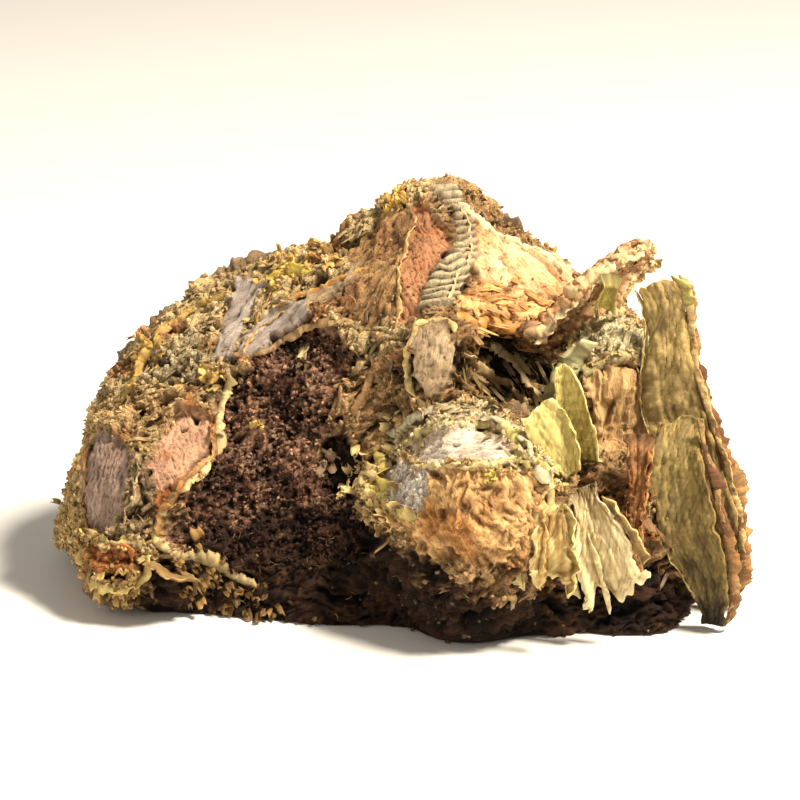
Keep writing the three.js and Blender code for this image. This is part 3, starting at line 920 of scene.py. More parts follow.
def fibres(ground, chosen, lengths, colours, headings):
    """Thin loose fibres, three-sided and tapered, that leave the surface at a low angle and wander."""
    count = len(chosen)
    normal = ground.normals[chosen]
    heading = unit(headings - np.einsum("ij,ij->i", headings, normal)[:, None] * normal)
    lifted = heading + normal * draws.uniform(0, 0.45, (count, 1))
    heading = unit(lifted + draws.normal(0, 0.25, (count, 3)))
    reached = ground.places[chosen] - normal * 0.2
    thick = draws.uniform(0.07, 0.13, count)
    rings = []
    for stage in range(FIBRE_STEPS + 1):
        side = unit(np.cross(heading, normal + 0.01))
        lift = np.cross(heading, side)
        radius = (thick * (1 - 0.85 * stage / FIBRE_STEPS))[:, None]
        for turn in range(3):
            angle = turn * math.tau / 3
            rings.append(reached + radius * (math.cos(angle) * side + math.sin(angle) * lift))
        heading = unit(heading + draws.normal(0, 0.3, (count, 3)) - normal * 0.12)
        reached = reached + heading * (lengths / FIBRE_STEPS)[:, None]
    each = 3 * (FIBRE_STEPS + 1)
    places = np.stack(rings, axis=1).reshape(-1, 3)
    keep_above_floor(places)
    own = []
    for ring in range(0, 3 * FIBRE_STEPS, 3):
        for turn in range(3):
            beside = (turn + 1) % 3
            own.append([ring + turn, ring + beside, ring + 3 + beside])
            own.append([ring + turn, ring + 3 + beside, ring + 3 + turn])
    own += [[2, 1, 0], [each - 3, each - 2, each - 1]]
    faces = (np.array(own) + each * np.arange(count)[:, None, None]).reshape(-1, 3)
    rise = np.tile(np.repeat(np.arange(FIBRE_STEPS + 1), 3), count)
    grain = np.stack([np.zeros_like(rise), rise, np.repeat(thick * 90, each)], axis=1)
    return Patch(places, faces, np.repeat(colours, each, axis=0), grain)


# A block with twenty faces, whose corners stand on three golden rectangles.
GOLDEN = (1 + math.sqrt(5)) / 2
BLOCK = unit(np.array([
    (-1, GOLDEN, 0), (1, GOLDEN, 0), (-1, -GOLDEN, 0), (1, -GOLDEN, 0), (0, -1, GOLDEN), (0, 1, GOLDEN),
    (0, -1, -GOLDEN), (0, 1, -GOLDEN), (GOLDEN, 0, -1), (GOLDEN, 0, 1), (-GOLDEN, 0, -1), (-GOLDEN, 0, 1),
]))
BLOCK_FACES = np.array([
    (0, 11, 5), (0, 5, 1), (0, 1, 7), (0, 7, 10), (0, 10, 11),
    (1, 5, 9), (5, 11, 4), (11, 10, 2), (10, 7, 6), (7, 1, 8),
    (3, 9, 4), (3, 4, 2), (3, 2, 6), (3, 6, 8), (3, 8, 9),
    (4, 9, 5), (2, 4, 11), (6, 2, 10), (8, 6, 7), (9, 8, 1),
])


def crumbs(ground, chosen, sizes, colours):
    """Angular crumbs, each a battered twenty-sided block that is half sunk in the surface."""
    count = len(chosen)
    battered = draws.uniform(0.6, 1.25, (count, len(BLOCK), 1))
    squashed = draws.uniform(0.5, 1.3, (count, 1, 3))
    corners = BLOCK * battered * squashed
    turned = unit(draws.normal(size=(count, 3, 3)))
    across = unit(np.cross(turned[:, 0], turned[:, 1]))
    axes = np.stack([turned[:, 0], across, np.cross(turned[:, 0], across)], axis=1)
    offsets = np.einsum("cvi,cij->cvj", corners, axes) * sizes[:, None, None] / 2
    places = ground.places[chosen][:, None] + ground.normals[chosen][:, None] * 0.1 + offsets
    places = places.reshape(-1, 3)
    keep_above_floor(places)
    faces = (BLOCK_FACES + len(BLOCK) * np.arange(count)[:, None, None]).reshape(-1, 3)
    return Patch(places, faces, np.repeat(colours, len(BLOCK), axis=0), places)


FRILL_STEP = 0.24  # mm between the rows of a frill


def frill(roots, stand, fold, seed, colour, width=1.8, turn=0.3, columns=6, crinkle=0.5, calm=1.0):
    """A torn thin edge that grows from a line of roots. stand is the way that it grows and fold the way that
    it bends over, by turn radians. Its free edge is ragged. calm over 1 draws its waves out, and crinkle is
    how deep its fine folds are."""
    rows = len(roots)
    gone = gone_along(roots)
    run, out = np.repeat(gone, columns), np.tile(np.linspace(0, 1, columns), rows)
    # The waves are read along a slant, because noise is too regular along a line of its own lattice.
    level = np.stack([run, 0.61 * run + 3.7 * seed, 0.37 * run + 7.3 * seed], axis=1)
    apart = level + np.outer(out, [0, 1.6, 0.5])
    teeth = 0.85 + 0.4 * noise(level / 3.6, 121) + 0.24 * noise(level / 1.3, 122)
    teeth += 0.14 * noise(level / 0.6, 127)
    fade = step(0.0, 1.2, run) * step(0.0, 1.2, gone[-1] - run)
    reach = (width * np.clip(teeth, 0.35, 1.35) * (0.15 + 0.85 * fade) * out)[:, None]
    waves = 0.7 * noise(level / (3.4 * calm), 123) + 0.6 * out * noise(apart / (1.3 * calm), 124)
    angle = turn * (0.4 + 1.2 * out) + waves
    stand, fold = (np.repeat(np.broadcast_to(way, roots.shape), columns, axis=0) for way in (stand, fold))
    heading = np.cos(angle)[:, None] * stand + np.sin(angle)[:, None] * fold
    middle = np.repeat(roots, columns, axis=0) + reach * heading
    middle += (crinkle * 0.5 * out * noise(apart / 0.7, 125))[:, None] * fold
    places, _ = shell(middle, rows, columns, 0.26 - 0.14 * out)
    tone = 0.5 + 0.3 * noise(apart / 1.4, 126) + 0.2 * noise(apart / 0.6, 128) + 0.35 * out
    tint = linear(colour) * np.clip(tone, 0.2, 1.3)[:, None]
    grain = np.stack([run, out * width, level[:, 2]], axis=1)
    return Patch(places, closed_sheet(columns, rows), np.tile(tint, (2, 1)), np.tile(grain, (2, 1)))


# ---- What is torn up on the rhizome --------------------------------------------------------------

# Dry golds, creams and tans, and an olive.
DRY_CODES = ("#d0ab66", "#d3bd74", "#b98a52", "#dccba0", "#a37a4a", "#9c8d66")
DRY_COLOURS = np.array([linear(code) for code in DRY_CODES])


def dry_colours(ground, chosen, own_share, light=1.0):
    """Colours of torn tissue: the surface's own, mixed with one of the dry golds, creams and tans."""
    dry = DRY_COLOURS[draws.integers(0, len(DRY_COLOURS), len(chosen))]
    blend = own_share * ground.tint[chosen] + (1 - own_share) * dry
    return light * blend * draws.uniform(0.65, 1.2, (len(chosen), 1))


draws = np.random.default_rng(SEED + 1)
ground = Ground(
    read(skin.data) / MM,
    read(skin.data, "smooth_normal"),
    read(skin.data, "tint"),
    read(skin.data, "flow"),
    read(skin.data, "rim", 1),
)

loose = read(skin.data, "loose", 1)
spots_as_shares = ground.spots / FRONT_SIZE
_, in_pith = to_path(spots_as_shares, ZONES["pith"]["outline"], closed=True)
brightness = ground.tint.mean(axis=1)

# How many of each are torn up.
RIM_SCRAPS = 900
RIM_CRUMBS = 2100
CRUMBS = 2800
SHREDS = 2000
LOOSE_FIBRES = 1300
PITH_FIBRES = 900
PITH_CRUMBS = 2700
CRUST_CRUMBS = 180

chosen = pick(ground.rim**1.5 * (0.3 + ground.front), RIM_SCRAPS)
rim_scraps = scraps(
    ground, chosen, draws.uniform(0.5, 1.3, len(chosen)), dry_colours(ground, chosen, 0.35), lean=(0.5, 1.3)
)
joined("torn_rims", [rim_scraps], SCALE_LEAF, "papery_scale")

chosen = pick(ground.rim * (0.1 + ground.front), RIM_CRUMBS)
rim_crumbs = crumbs(ground, chosen, draws.uniform(0.3, 0.8, len(chosen)), dry_colours(ground, chosen, 0.4))
chosen = pick((0.1 + brightness) * loose * ground.front, CRUMBS)
crumb_sizes = draws.uniform(0.3, 0.9, len(chosen))
other_crumbs = crumbs(ground, chosen, crumb_sizes, dry_colours(ground, chosen, 0.8, 0.9))
chosen = pick(ground.front * in_pith, PITH_CRUMBS)
pith_tints = ground.tint[chosen] * draws.uniform(0.5, 1.5, (len(chosen), 1))
pith_crumbs = crumbs(ground, chosen, draws.uniform(0.25, 0.65, len(chosen)), pith_tints)
joined("crumbs", [rim_crumbs, other_crumbs, pith_crumbs], TORN_FIBRE, "torn_fibre", smooth=False)

chosen = pick((0.03 + brightness) * loose**1.5 * ground.front, SHREDS)
stray = draws.normal(0, 0.35, (len(chosen), 3))
along = ground.flow[chosen] * draws.choice([-1, 1], (len(chosen), 1)) + stray
shreds = scraps(
    ground, chosen, draws.uniform(0.8, 2.2, len(chosen)), dry_colours(ground, chosen, 0.75), along,
    lean=(1.3, 1.55), breadth=0.36, columns=3, rows=4,
)
joined("lying_shreds", [shreds], TORN_FIBRE, "torn_fibre")

chosen = pick(ground.front * loose * (0.15 + 2 * brightness), LOOSE_FIBRES)
along = ground.flow[chosen] + draws.normal(0, 0.5, (len(chosen), 3))
fibre_lengths = draws.uniform(0.8, 2.6, len(chosen))
loose_ones = fibres(ground, chosen, fibre_lengths, dry_colours(ground, chosen, 0.6), along)
chosen = pick(ground.front * in_pith, PITH_FIBRES)
along = draws.normal(0, 1, (len(chosen), 3))
pith_colours = mixed(linear("#3a2013"), linear("#9a7252"), draws.uniform(0, 1, len(chosen)) ** 2)
pith_ones = fibres(ground, chosen, draws.uniform(0.5, 1.5, len(chosen)), pith_colours, along)
joined("loose_fibres", [loose_ones, pith_ones], TORN_FIBRE, "torn_fibre")

# Torn edges that stand up from the front, each along a path in shares of the front view. width is how far
# one stands out, in mm, and turn how far it bends over, in radians: over 0 to the left of its path.
FRILLS = {
    "pith_edge": dict(
        colour="#dcc389", width=1.5, turn=0.9,
        path=[
            (0.262, 0.53), (0.25, 0.43), (0.246, 0.33), (0.2, 0.25), (0.165, 0.18), (0.15, 0.11),
            (0.17, 0.075), (0.205, 0.08),
        ],
    ),
    "pith_edge_inner": dict(
        colour="#b98a52", width=1.2, turn=-0.6,
        path=[(0.257, 0.4), (0.243, 0.3), (0.2, 0.23), (0.17, 0.16), (0.165, 0.1)],
    ),
    "left_edge": dict(
        colour="#cfae6c", width=1.3, turn=0.6,
        path=[(0.02, 0.13), (0.018, 0.24), (0.035, 0.34), (0.065, 0.39), (0.09, 0.42)],
    ),
    "left_cut_edge": dict(
        colour="#8a6238", width=1.0, turn=-0.5,
        path=[(0.05, 0.11), (0.037, 0.2), (0.042, 0.3), (0.05, 0.36)],
    ),
    "cut_divider": dict(
        colour="#c4a878", width=0.8, turn=0.5,
        path=[(0.12, 0.33), (0.128, 0.27), (0.115, 0.19), (0.105, 0.13)],
    ),
    "cut_foot": dict(
        colour="#d6bc7e", width=1.2, turn=0.8,
        path=[(0.04, 0.13), (0.07, 0.1), (0.1, 0.1), (0.14, 0.09)],
    ),
    "lobe_rim": dict(
        colour="#d8c078", width=1.6, turn=0.7,
        path=[(0.145, 0.08), (0.14, 0.02), (0.1, -0.01), (0.06, 0.0), (0.035, 0.05), (0.03, 0.11)],
    ),
    "lobe_heart": dict(
        colour="#c0763c", width=1.0, turn=0.8,
        path=[(0.06, 0.06), (0.08, 0.085), (0.11, 0.085), (0.125, 0.06)],
    ),
    "lip_over_the_foot": dict(
        colour="#b9a06c", width=2.6, turn=1.3,
        path=[(0.15, 0.06), (0.19, 0.06), (0.23, 0.04), (0.27, 0.0), (0.31, -0.02)],
    ),
    "strip_edge_high": dict(
        colour="#c9954f", width=0.9, turn=0.5,
        path=[(0.325, 0.74), (0.305, 0.68), (0.272, 0.55)],
    ),
    "strip_edge_low": dict(
        colour="#d0a868", width=0.9, turn=0.5,
        path=[(0.395, 0.71), (0.335, 0.675), (0.29, 0.615), (0.275, 0.56)],
    ),
    "strip_edge_upper": dict(
        colour="#cf9850", width=0.9, turn=-0.4,
        path=[(0.475, 0.79), (0.43, 0.76), (0.38, 0.72), (0.33, 0.69)],
    ),
    "pith_brow": dict(
        colour="#a9885a", width=1.2, turn=-0.9,
        path=[(0.3, 0.56), (0.34, 0.6), (0.39, 0.65), (0.44, 0.66), (0.5, 0.61)],
    ),
    "flank_lower": dict(
        colour="#b08556", width=1.4, turn=-0.8,
        path=[(0.5, 0.6), (0.49, 0.53), (0.47, 0.46), (0.45, 0.4)],
    ),
    "skyline_left": dict(
        colour="#c8a355", width=1.4, turn=0.5,
        path=[(0.09, 0.45), (0.12, 0.52), (0.15, 0.62), (0.2, 0.69), (0.27, 0.735)],
    ),
    "skyline_gold": dict(
        colour="#dcbf54", width=1.9, turn=0.5,
        path=[(0.31, 0.755), (0.35, 0.775), (0.38, 0.77), (0.4, 0.8)],
    ),
    "striped_edge": dict(
        colour="#d9b273", width=1.0, turn=0.6,
        path=[(0.545, 0.93), (0.525, 0.8), (0.515, 0.68), (0.51, 0.62)],
    ),
    "slope_rim": dict(
        colour="#ecd9ac", width=1.2, turn=0.5,
        path=[(0.61, 0.96), (0.64, 0.91), (0.67, 0.86), (0.71, 0.845), (0.75, 0.83), (0.785, 0.77)],
    ),
    "ladder_edge": dict(
        colour="#dcc493", width=0.8, turn=-0.4,
        path=[(0.62, 0.95), (0.64, 0.87), (0.64, 0.81), (0.615, 0.75), (0.6, 0.68)],
    ),
    "tongue_edge_high": dict(
        colour="#eec07a", width=1.8, turn=-1.1,
        path=[(0.61, 0.72), (0.65, 0.7), (0.7, 0.7), (0.75, 0.68)],
    ),
    "tongue_edge_low": dict(
        colour="#dd9a50", width=2.0, turn=-1.2,
        path=[(0.6, 0.68), (0.64, 0.655), (0.69, 0.65), (0.75, 0.645), (0.78, 0.62)],
    ),
    "scar_ring": dict(
        colour="#dcc07e", width=1.0, turn=0.5,
        path=[(0.545, 0.45), (0.533, 0.52), (0.537, 0.6), (0.56, 0.645), (0.595, 0.65), (0.615, 0.61)],
    ),
    "scar_foot": dict(
        colour="#c8aa72", width=1.2, turn=-0.8,
        path=[(0.54, 0.46), (0.57, 0.44), (0.61, 0.45), (0.65, 0.43)],
    ),
    "hollow_strip_one": dict(
        colour="#b3976a", width=1.6, turn=0.4, crinkle=0.3,
        path=[(0.62, 0.56), (0.66, 0.51), (0.7, 0.47), (0.72, 0.43)],
    ),
    "hollow_strip_two": dict(
        colour="#c2ab80", width=1.8, turn=-0.4, crinkle=0.3,
        path=[(0.66, 0.6), (0.7, 0.56), (0.72, 0.5), (0.75, 0.44)],
    ),
    "hollow_strip_three": dict(
        colour="#9c7f54", width=1.4, turn=0.6, crinkle=0.3,
        path=[(0.7, 0.61), (0.74, 0.57), (0.76, 0.51)],
    ),
    "hollow_strip_four": dict(
        colour="#8a6c44", width=1.2, turn=0.2, crinkle=0.3,
        path=[(0.6, 0.52), (0.64, 0.47), (0.68, 0.43)],
    ),
    "bud_brow_high": dict(
        colour="#c9bf9c", width=1.6, turn=-0.9,
        path=[
            (0.5, 0.36), (0.53, 0.41), (0.58, 0.45), (0.64, 0.44), (0.7, 0.39), (0.73, 0.32), (0.75, 0.25),
        ],
    ),
    "bud_brow_low": dict(
        colour="#decb8a", width=1.5, turn=0.7,
        path=[(0.51, 0.32), (0.55, 0.37), (0.6, 0.4), (0.66, 0.39), (0.7, 0.35)],
    ),
    "bud_lip": dict(
        colour="#e6cf92", width=1.2, turn=0.7,
        path=[(0.53, 0.29), (0.57, 0.285), (0.62, 0.29), (0.67, 0.3), (0.7, 0.31)],
    ),
    "bud_right_high": dict(
        colour="#e2d07c", width=2.0, turn=0.8,
        path=[(0.67, 0.39), (0.69, 0.35), (0.7, 0.3)],
    ),
    "bud_right_low": dict(
        colour="#dcc680", width=1.6, turn=0.6,
        path=[(0.71, 0.33), (0.73, 0.28), (0.745, 0.22), (0.75, 0.16)],
    ),
    "bud_left_high": dict(
        colour="#ddc66a", width=2.6, turn=0.9,
        path=[(0.49, 0.34), (0.485, 0.3), (0.49, 0.25), (0.5, 0.2)],
    ),
    "bud_left_far": dict(
        colour="#e0cd68", width=2.6, turn=0.6,
        path=[(0.475, 0.3), (0.465, 0.26), (0.475, 0.22), (0.485, 0.18)],
    ),
    "bud_left_low": dict(
        colour="#d5bf74", width=2.2, turn=0.8,
        path=[(0.485, 0.23), (0.5, 0.18), (0.52, 0.155), (0.55, 0.16)],
    ),
    "stub_brim": dict(
        colour="#b9ab74", width=1.6, turn=0.9,
        path=[(0.79, 0.5), (0.82, 0.535), (0.86, 0.55), (0.9, 0.53), (0.915, 0.49)],
    ),
    "stub_leaf": dict(
        colour="#c3bd8a", width=3.4, turn=0.5, crinkle=0.3, calm=2.0,
        path=[(0.785, 0.42), (0.785, 0.49), (0.8, 0.56), (0.82, 0.6)],
    ),
    "stub_leaf_left": dict(
        colour="#a99d66", width=3.2, turn=0.9, crinkle=0.3, calm=2.0,
        path=[(0.77, 0.4), (0.765, 0.46), (0.775, 0.52)],
    ),
    "foot_flakes": dict(
        colour="#8a6038", width=2.0, turn=0.9,
        path=[(0.84, 0.28), (0.85, 0.22), (0.87, 0.16), (0.88, 0.1)],
    ),
    "foot_flakes_low": dict(
        colour="#7a5430", width=2.0, turn=-0.9,
        path=[(0.87, 0.3), (0.89, 0.22), (0.9, 0.14), (0.9, 0.06)],
    ),
}


def on_skin(path):
    """A line of points on the front of the skin under a path in the front view, with their normals."""
    corners = np.array(path) * FRONT_SIZE
    gone = gone_along(corners)
    at = np.linspace(0, gone[-1], int(gone[-1] / FRILL_STEP) + 2)
    line = np.stack([np.interp(at, gone, corners[:, side]) for side in (0, 1)], axis=1)
    facing = np.flatnonzero(ground.front > 0.5)
    spots, nearness = ground.spots[facing], ground.places[facing] @ TOWARDS
    found = []
    for spot in line:
        gap = np.linalg.norm(spots - spot, axis=1)
        found.append(facing[np.argmax(np.where(gap < max(0.7, gap.min() + 0.1), nearness, -1e9))])
    roots, normals = (
        np.stack([eased(column, 4) for column in values[found].T], axis=1)
        for values in (ground.places, ground.normals)
    )
    return roots, unit(normals)


frills = []
for seed, look in enumerate(FRILLS.values()):
    look = dict(look)
    roots, stand = on_skin(look.pop("path"))
    fold = unit(np.cross(stand, np.gradient(roots, axis=0)))
    frills.append(frill(roots - 0.5 * stand, stand, fold, seed, **look))
joined("torn_edges", frills, SCALE_LEAF, "papery_scale")

# Larger scraps in groups. spot is the middle in the front view, in shares, spread how far they scatter and
# size how long they are, in mm. heading is the way that they lie, in degrees from the right.
TUFTS = {
    "ball_by_the_peak": dict(
        spot=(0.522, 0.945), spread=1.1, count=46, size=1.8, colour="#e4b45c", lean=(0, 0.6),
    ),
    "frill_left_of_the_bud": dict(spot=(0.475, 0.25), spread=2.9, count=70, size=2.0, colour="#e4c484"),
    "frill_under_the_bud": dict(spot=(0.5, 0.165), spread=2.2, count=44, size=1.9, colour="#dcb87c"),
    "crumbs_right_of_the_bud": dict(spot=(0.72, 0.32), spread=2.2, count=50, size=1.6, colour="#d8c47c"),
    "crumbs_over_the_bud": dict(spot=(0.52, 0.36), spread=2.6, count=30, size=1.5, colour="#d2ba84"),
    "gold_ring_on_the_bud": dict(
        spot=(0.655, 0.27), spread=0.6, count=12, size=1.1, colour="#e6d06a", lean=(0, 0.5),
    ),
    "hanging_flake": dict(
        spot=(0.375, 0.585), spread=0.9, count=9, size=4.4, colour="#cdb383", heading=-80, lean=(1.1, 1.5),
        breadth=0.4,
    ),
    "curl_on_the_left": dict(spot=(0.24, 0.505), spread=1.2, count=20, size=1.9, colour="#d0a860"),
    "curl_in_the_pith": dict(
        spot=(0.308, 0.385), spread=0.45, count=9, size=1.2, colour="#dcb865", lean=(0, 0.5),
    ),
    "curl_low_in_the_pith": dict(spot=(0.405, 0.29), spread=0.9, count=12, size=1.6, colour="#b39270"),
    "yellow_on_the_skyline": dict(spot=(0.34, 0.765), spread=2.2, count=60, size=1.7, colour="#e2b95e"),
    "gold_left_of_the_peak": dict(spot=(0.41, 0.8), spread=1.7, count=36, size=1.8, colour="#d4a860"),
    "olive_on_the_left_skyline": dict(spot=(0.135, 0.56), spread=1.4, count=26, size=1.8, colour="#cba050"),
    "ragged_foot_left": dict(
        spot=(0.1, 0.0), spread=3.2, count=44, size=1.8, colour="#b8965a", heading=-80,
    ),
    "ragged_foot_middle": dict(
        spot=(0.23, 0.03), spread=3.6, count=50, size=2.0, colour="#97743f", heading=-50,
    ),
    "ragged_foot_right": dict(
        spot=(0.3, -0.03), spread=2.6, count=26, size=2.0, colour="#836236", heading=-60,
    ),
    "strips_in_the_hollow": dict(
        spot=(0.7, 0.52), spread=3.2, count=34, size=5.0, colour="#b49c6c", heading=-50, breadth=0.2,
        lean=(1.2, 1.5),
    ),
    "strips_by_the_scar": dict(
        spot=(0.64, 0.5), spread=2.2, count=26, size=4.0, colour="#a98d5e", heading=-35, breadth=0.18,
        lean=(1.2, 1.5),
    ),
    "slope_tongues": dict(
        spot=(0.66, 0.69), spread=3.0, count=34, size=3.6, colour="#e0ab68", heading=-10, breadth=0.3,
        lean=(1.1, 1.5),
    ),
    "slope_lower_fringe": dict(
        spot=(0.72, 0.65), spread=3.0, count=34, size=3.0, colour="#c98d50", heading=-30, breadth=0.3,
        lean=(1.0, 1.5),
    ),
    "crumbs_on_the_stub": dict(spot=(0.83, 0.62), spread=2.8, count=16, size=1.6, colour="#d2c592"),
    "flakes_under_the_stub": dict(
        spot=(0.87, 0.2), spread=3.6, count=50, size=2.6, colour="#8a6238", heading=-80,
    ),
}
for name, tuft in TUFTS.items():
    chosen = pick(ground.near(tuft["spot"], tuft["spread"]), tuft["count"])
    headings = None
    if "heading" in tuft:
        turn = np.radians(tuft["heading"] + draws.normal(0, 14, (len(chosen), 1)))
        headings = np.cos(turn) * RIGHT + np.sin(turn) * UP
    tuft_scraps = scraps(
        ground,
        chosen,
        tuft["size"] * draws.uniform(0.6, 1.15, len(chosen)),
        linear(tuft["colour"]) * draws.uniform(0.55, 1.2, (len(chosen), 1)),
        headings,
        tuft.get("lean", (0.3, 1.2)),
        tuft.get("breadth", 0.8),
        columns=6,
        rows=5,
    )
    joined(name, [tuft_scraps], SCALE_LEAF, "papery_scale")


# ---- The scale leaves and bark sheets ------------------------------------------------------------


class PackedSheet:
    """A packed sheet's own axes, the smooth surface through its middle and its two long edges, in mm. edges
    says how far it is trimmed: rows of rise, left side and right side."""

    stops = np.linspace(0, 1, 201)

    def __init__(self, name, tip, edges):
        places = read(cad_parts[name].data) / MM
        self.centre = places.mean(axis=0)
        axes = np.linalg.svd(places - self.centre, full_matrices=False)[2]
        self.along = axes[0] * np.sign(axes[0] @ tip)
        self.out = axes[2] * np.sign(axes[2] @ TOWARDS)
        self.across = np.cross(self.along, self.out)
        run, width, depth = ((places - self.centre) @ np.stack([self.along, self.across, self.out], 1)).T
        self.start, self.end = run.min(), run.max()
        self.length = self.end - self.start
        self.middle = np.linalg.lstsq(self.terms(run, width), depth, rcond=None)[0]
        stations = np.linspace(self.start, self.end, 10)
        gathered = [width[(run >= a - 0.01) & (run <= b + 0.01)] for a, b in zip(stations, stations[1:])]
        middles = (stations[1:] + stations[:-1]) / 2
        self.left = np.polyfit(middles, [band.min() for band in gathered], 4)
        self.right = np.polyfit(middles, [band.max() for band in gathered], 4)
        lines = [np.interp(self.stops, *np.array(edges)[:, [0, side]].T) for side in (1, 2)]
        self.trim = [eased(line, 12) for line in lines]

    def terms(self, run, width):
        """The terms of the smooth surface that is fitted through the sheet."""
        run, width = run / self.length, width / self.length
        return np.stack([run**a * width**b for a in range(5) for b in range(3)], axis=1)

    def half_width(self, rise):
        """Half of what is left of the sheet's width after its trim."""
        run = self.start + np.clip(rise, 0, 1) * self.length
        left, right = (np.interp(rise, self.stops, line) for line in self.trim)
        return (right - left) / 2 * (np.polyval(self.right, run) - np.polyval(self.left, run)) / 2

    def place(self, rise, side):
        """Places on the middle surface: rise from 0, root, to 1, tip, and side from -1, left, to 1."""
        run = self.start + rise * self.length
        kept = self.start + np.clip(rise, 0, 1) * self.length
        left, right = np.polyval(self.left, kept), np.polyval(self.right, kept)
        start, stop = (np.interp(rise, self.stops, line) for line in self.trim)
        side = start + (side + 1) / 2 * (stop - start)
        width = (left + right) / 2 + side * (right - left) / 2
        depth = self.terms(kept, np.clip(width, left, right)) @ self.middle
        offsets = np.stack([run, width, depth], axis=1)
        return self.centre + offsets @ np.stack([self.along, self.across, self.out])


# tip is the way that a sheet points. Its thickness is in mm, and so are these: teeth, how ragged its
# tip is; nicks, how deep its sides are bitten; pleats, ripples and crumple, how high they stand; curl,
# how far its long edges turn up; tuck and dive, how far its root and its tip go into the body; and
# crust, how thick a crumbly coat it has. fold_width is a pleat's width as a share of the sheet's half
# width, and fade is how much lighter the tip is than the root.
SHEET_DEFAULTS = dict(
    rows=90, columns=44, thickness=0.45, teeth=0.8, nicks=0.5, pleats=0.0, ripples=0.0, crumple=0.5,
    curl=0.0, tuck=2.0, dive=0.0, fold_width=0.33, crust=0.0, fade=0.3, seed=0,
    edges=[(0, -1, 1), (1, -1, 1)],
)
SHEETS = {
    "tall_bark_sheet": dict(
        tip=UP, rows=150, columns=50, thickness=0.6, teeth=1.3, nicks=0.5, crumple=1.3, curl=-0.5, tuck=0.8,
        seed=1, dark="#5a4622", light="#b0975c", edge="#bc9a5a", material=PEELED_BARK, slot="peeled_bark",
        edges=[
            (0, -0.4, 0.5), (0.3, -0.7, 0.5), (0.6, -1.1, 0.3), (0.75, -1.2, 0), (0.86, -1.3, -0.1),
            (1, -1.3, 0),
        ],
    ),
    "low_bark_sheet": dict(
        tip=UP, rows=120, columns=54, thickness=0.6, teeth=1.0, nicks=0.7, crumple=1.3, curl=0.5, tuck=0.8,
        dive=2.4, fade=0.9, seed=2, dark="#3c2e14", light="#988249", edge="#94763e", material=PEELED_BARK,
        slot="peeled_bark",
        edges=[
            (0, -0.2, 0.7), (0.12, -0.45, 0.8), (0.3, -0.75, 0.75), (0.5, -0.95, 0.6), (0.75, -1.1, 0.5),
            (1, -1.2, 0.4),
        ],
    ),
    "crest_tongue": dict(
        tip=RIGHT + 0.5 * UP, rows=110, columns=40, thickness=1.7, teeth=1.6, nicks=1.0, crumple=0.9,
        tuck=1.5, crust=1.0, seed=3, dark="#9a6238", light="#e8c494", edge="#ecd49a", material=TORN_FIBRE,
        slot="torn_fibre",
    ),
    "under_crest_scale": dict(
        tip=-UP, rows=60, columns=30, thickness=0.3, teeth=0.6, pleats=0.3, crumple=0.4, seed=4,
        dark="#8c7a38", light="#ccbc64", edge="#ddcc84", material=SCALE_LEAF, slot="papery_scale",
    ),
    "upper_yellow_scale": dict(
        tip=UP, rows=110, thickness=0.35, teeth=0.8, nicks=0.4, ripples=0.14, crumple=0.6, curl=0.7, seed=5,
        dark="#a08c44", light="#dcca78", edge="#ece0a4", material=SCALE_LEAF, slot="papery_scale",
        edges=[(0, -0.9, 0.9), (0.4, -1, 1), (0.85, -1, 0.9), (1, -0.8, 0.3)],
    ),
    "folded_yellow_scale": dict(
        tip=UP, rows=110, thickness=0.35, teeth=1.0, nicks=0.5, pleats=0.35, crumple=0.6, curl=0.8, seed=6,
        dark="#a08c48", light="#d8c880", edge="#ece0a4", material=SCALE_LEAF, slot="papery_scale",
        edges=[(0, -0.5, 0.9), (0.5, -0.85, 1), (0.8, -1, 0.9), (1, -1, 0.5)],
    ),
    "fan_scale": dict(
        tip=-UP, rows=100, columns=64, thickness=0.4, teeth=2.6, nicks=1.2, pleats=1.0, fold_width=0.6,
        crumple=1.2, curl=0.4, seed=7, dark="#8c6c38", light="#e6d8a8", edge="#ecdfb4", material=SCALE_LEAF,
        slot="papery_scale",
    ),
    "crust_scale": dict(
        tip=-UP, rows=100, columns=64, thickness=0.4, teeth=2.0, nicks=1.6, pleats=0.6, fold_width=0.5,
        crumple=1.8, seed=8, dark="#94703a", light="#e4cc8c", edge="#ecdc9c", material=SCALE_LEAF,
        slot="papery_scale",
    ),
    "strip_scale": dict(
        tip=-UP, rows=110, thickness=0.5, teeth=2.0, nicks=1.2, pleats=0.7, crumple=1.3, seed=9,
        dark="#5e3a1c", light="#c48e58", edge="#d0a068", material=TORN_FIBRE, slot="torn_fibre",
        edges=[(0, -0.8, 1), (0.3, -1, 0.5), (0.6, -0.7, 0.7), (1, -0.3, 0.9)],
    ),
    "left_lip_scale": dict(
        tip=-RIGHT, rows=70, columns=36, thickness=0.25, teeth=1.6, nicks=1.4, crumple=1.0, pleats=0.3,
        curl=0.4, seed=10, dark="#5d4022", light="#9c7c48", edge="#c0a468", material=SCALE_LEAF,
        slot="papery_scale",
    ),
}


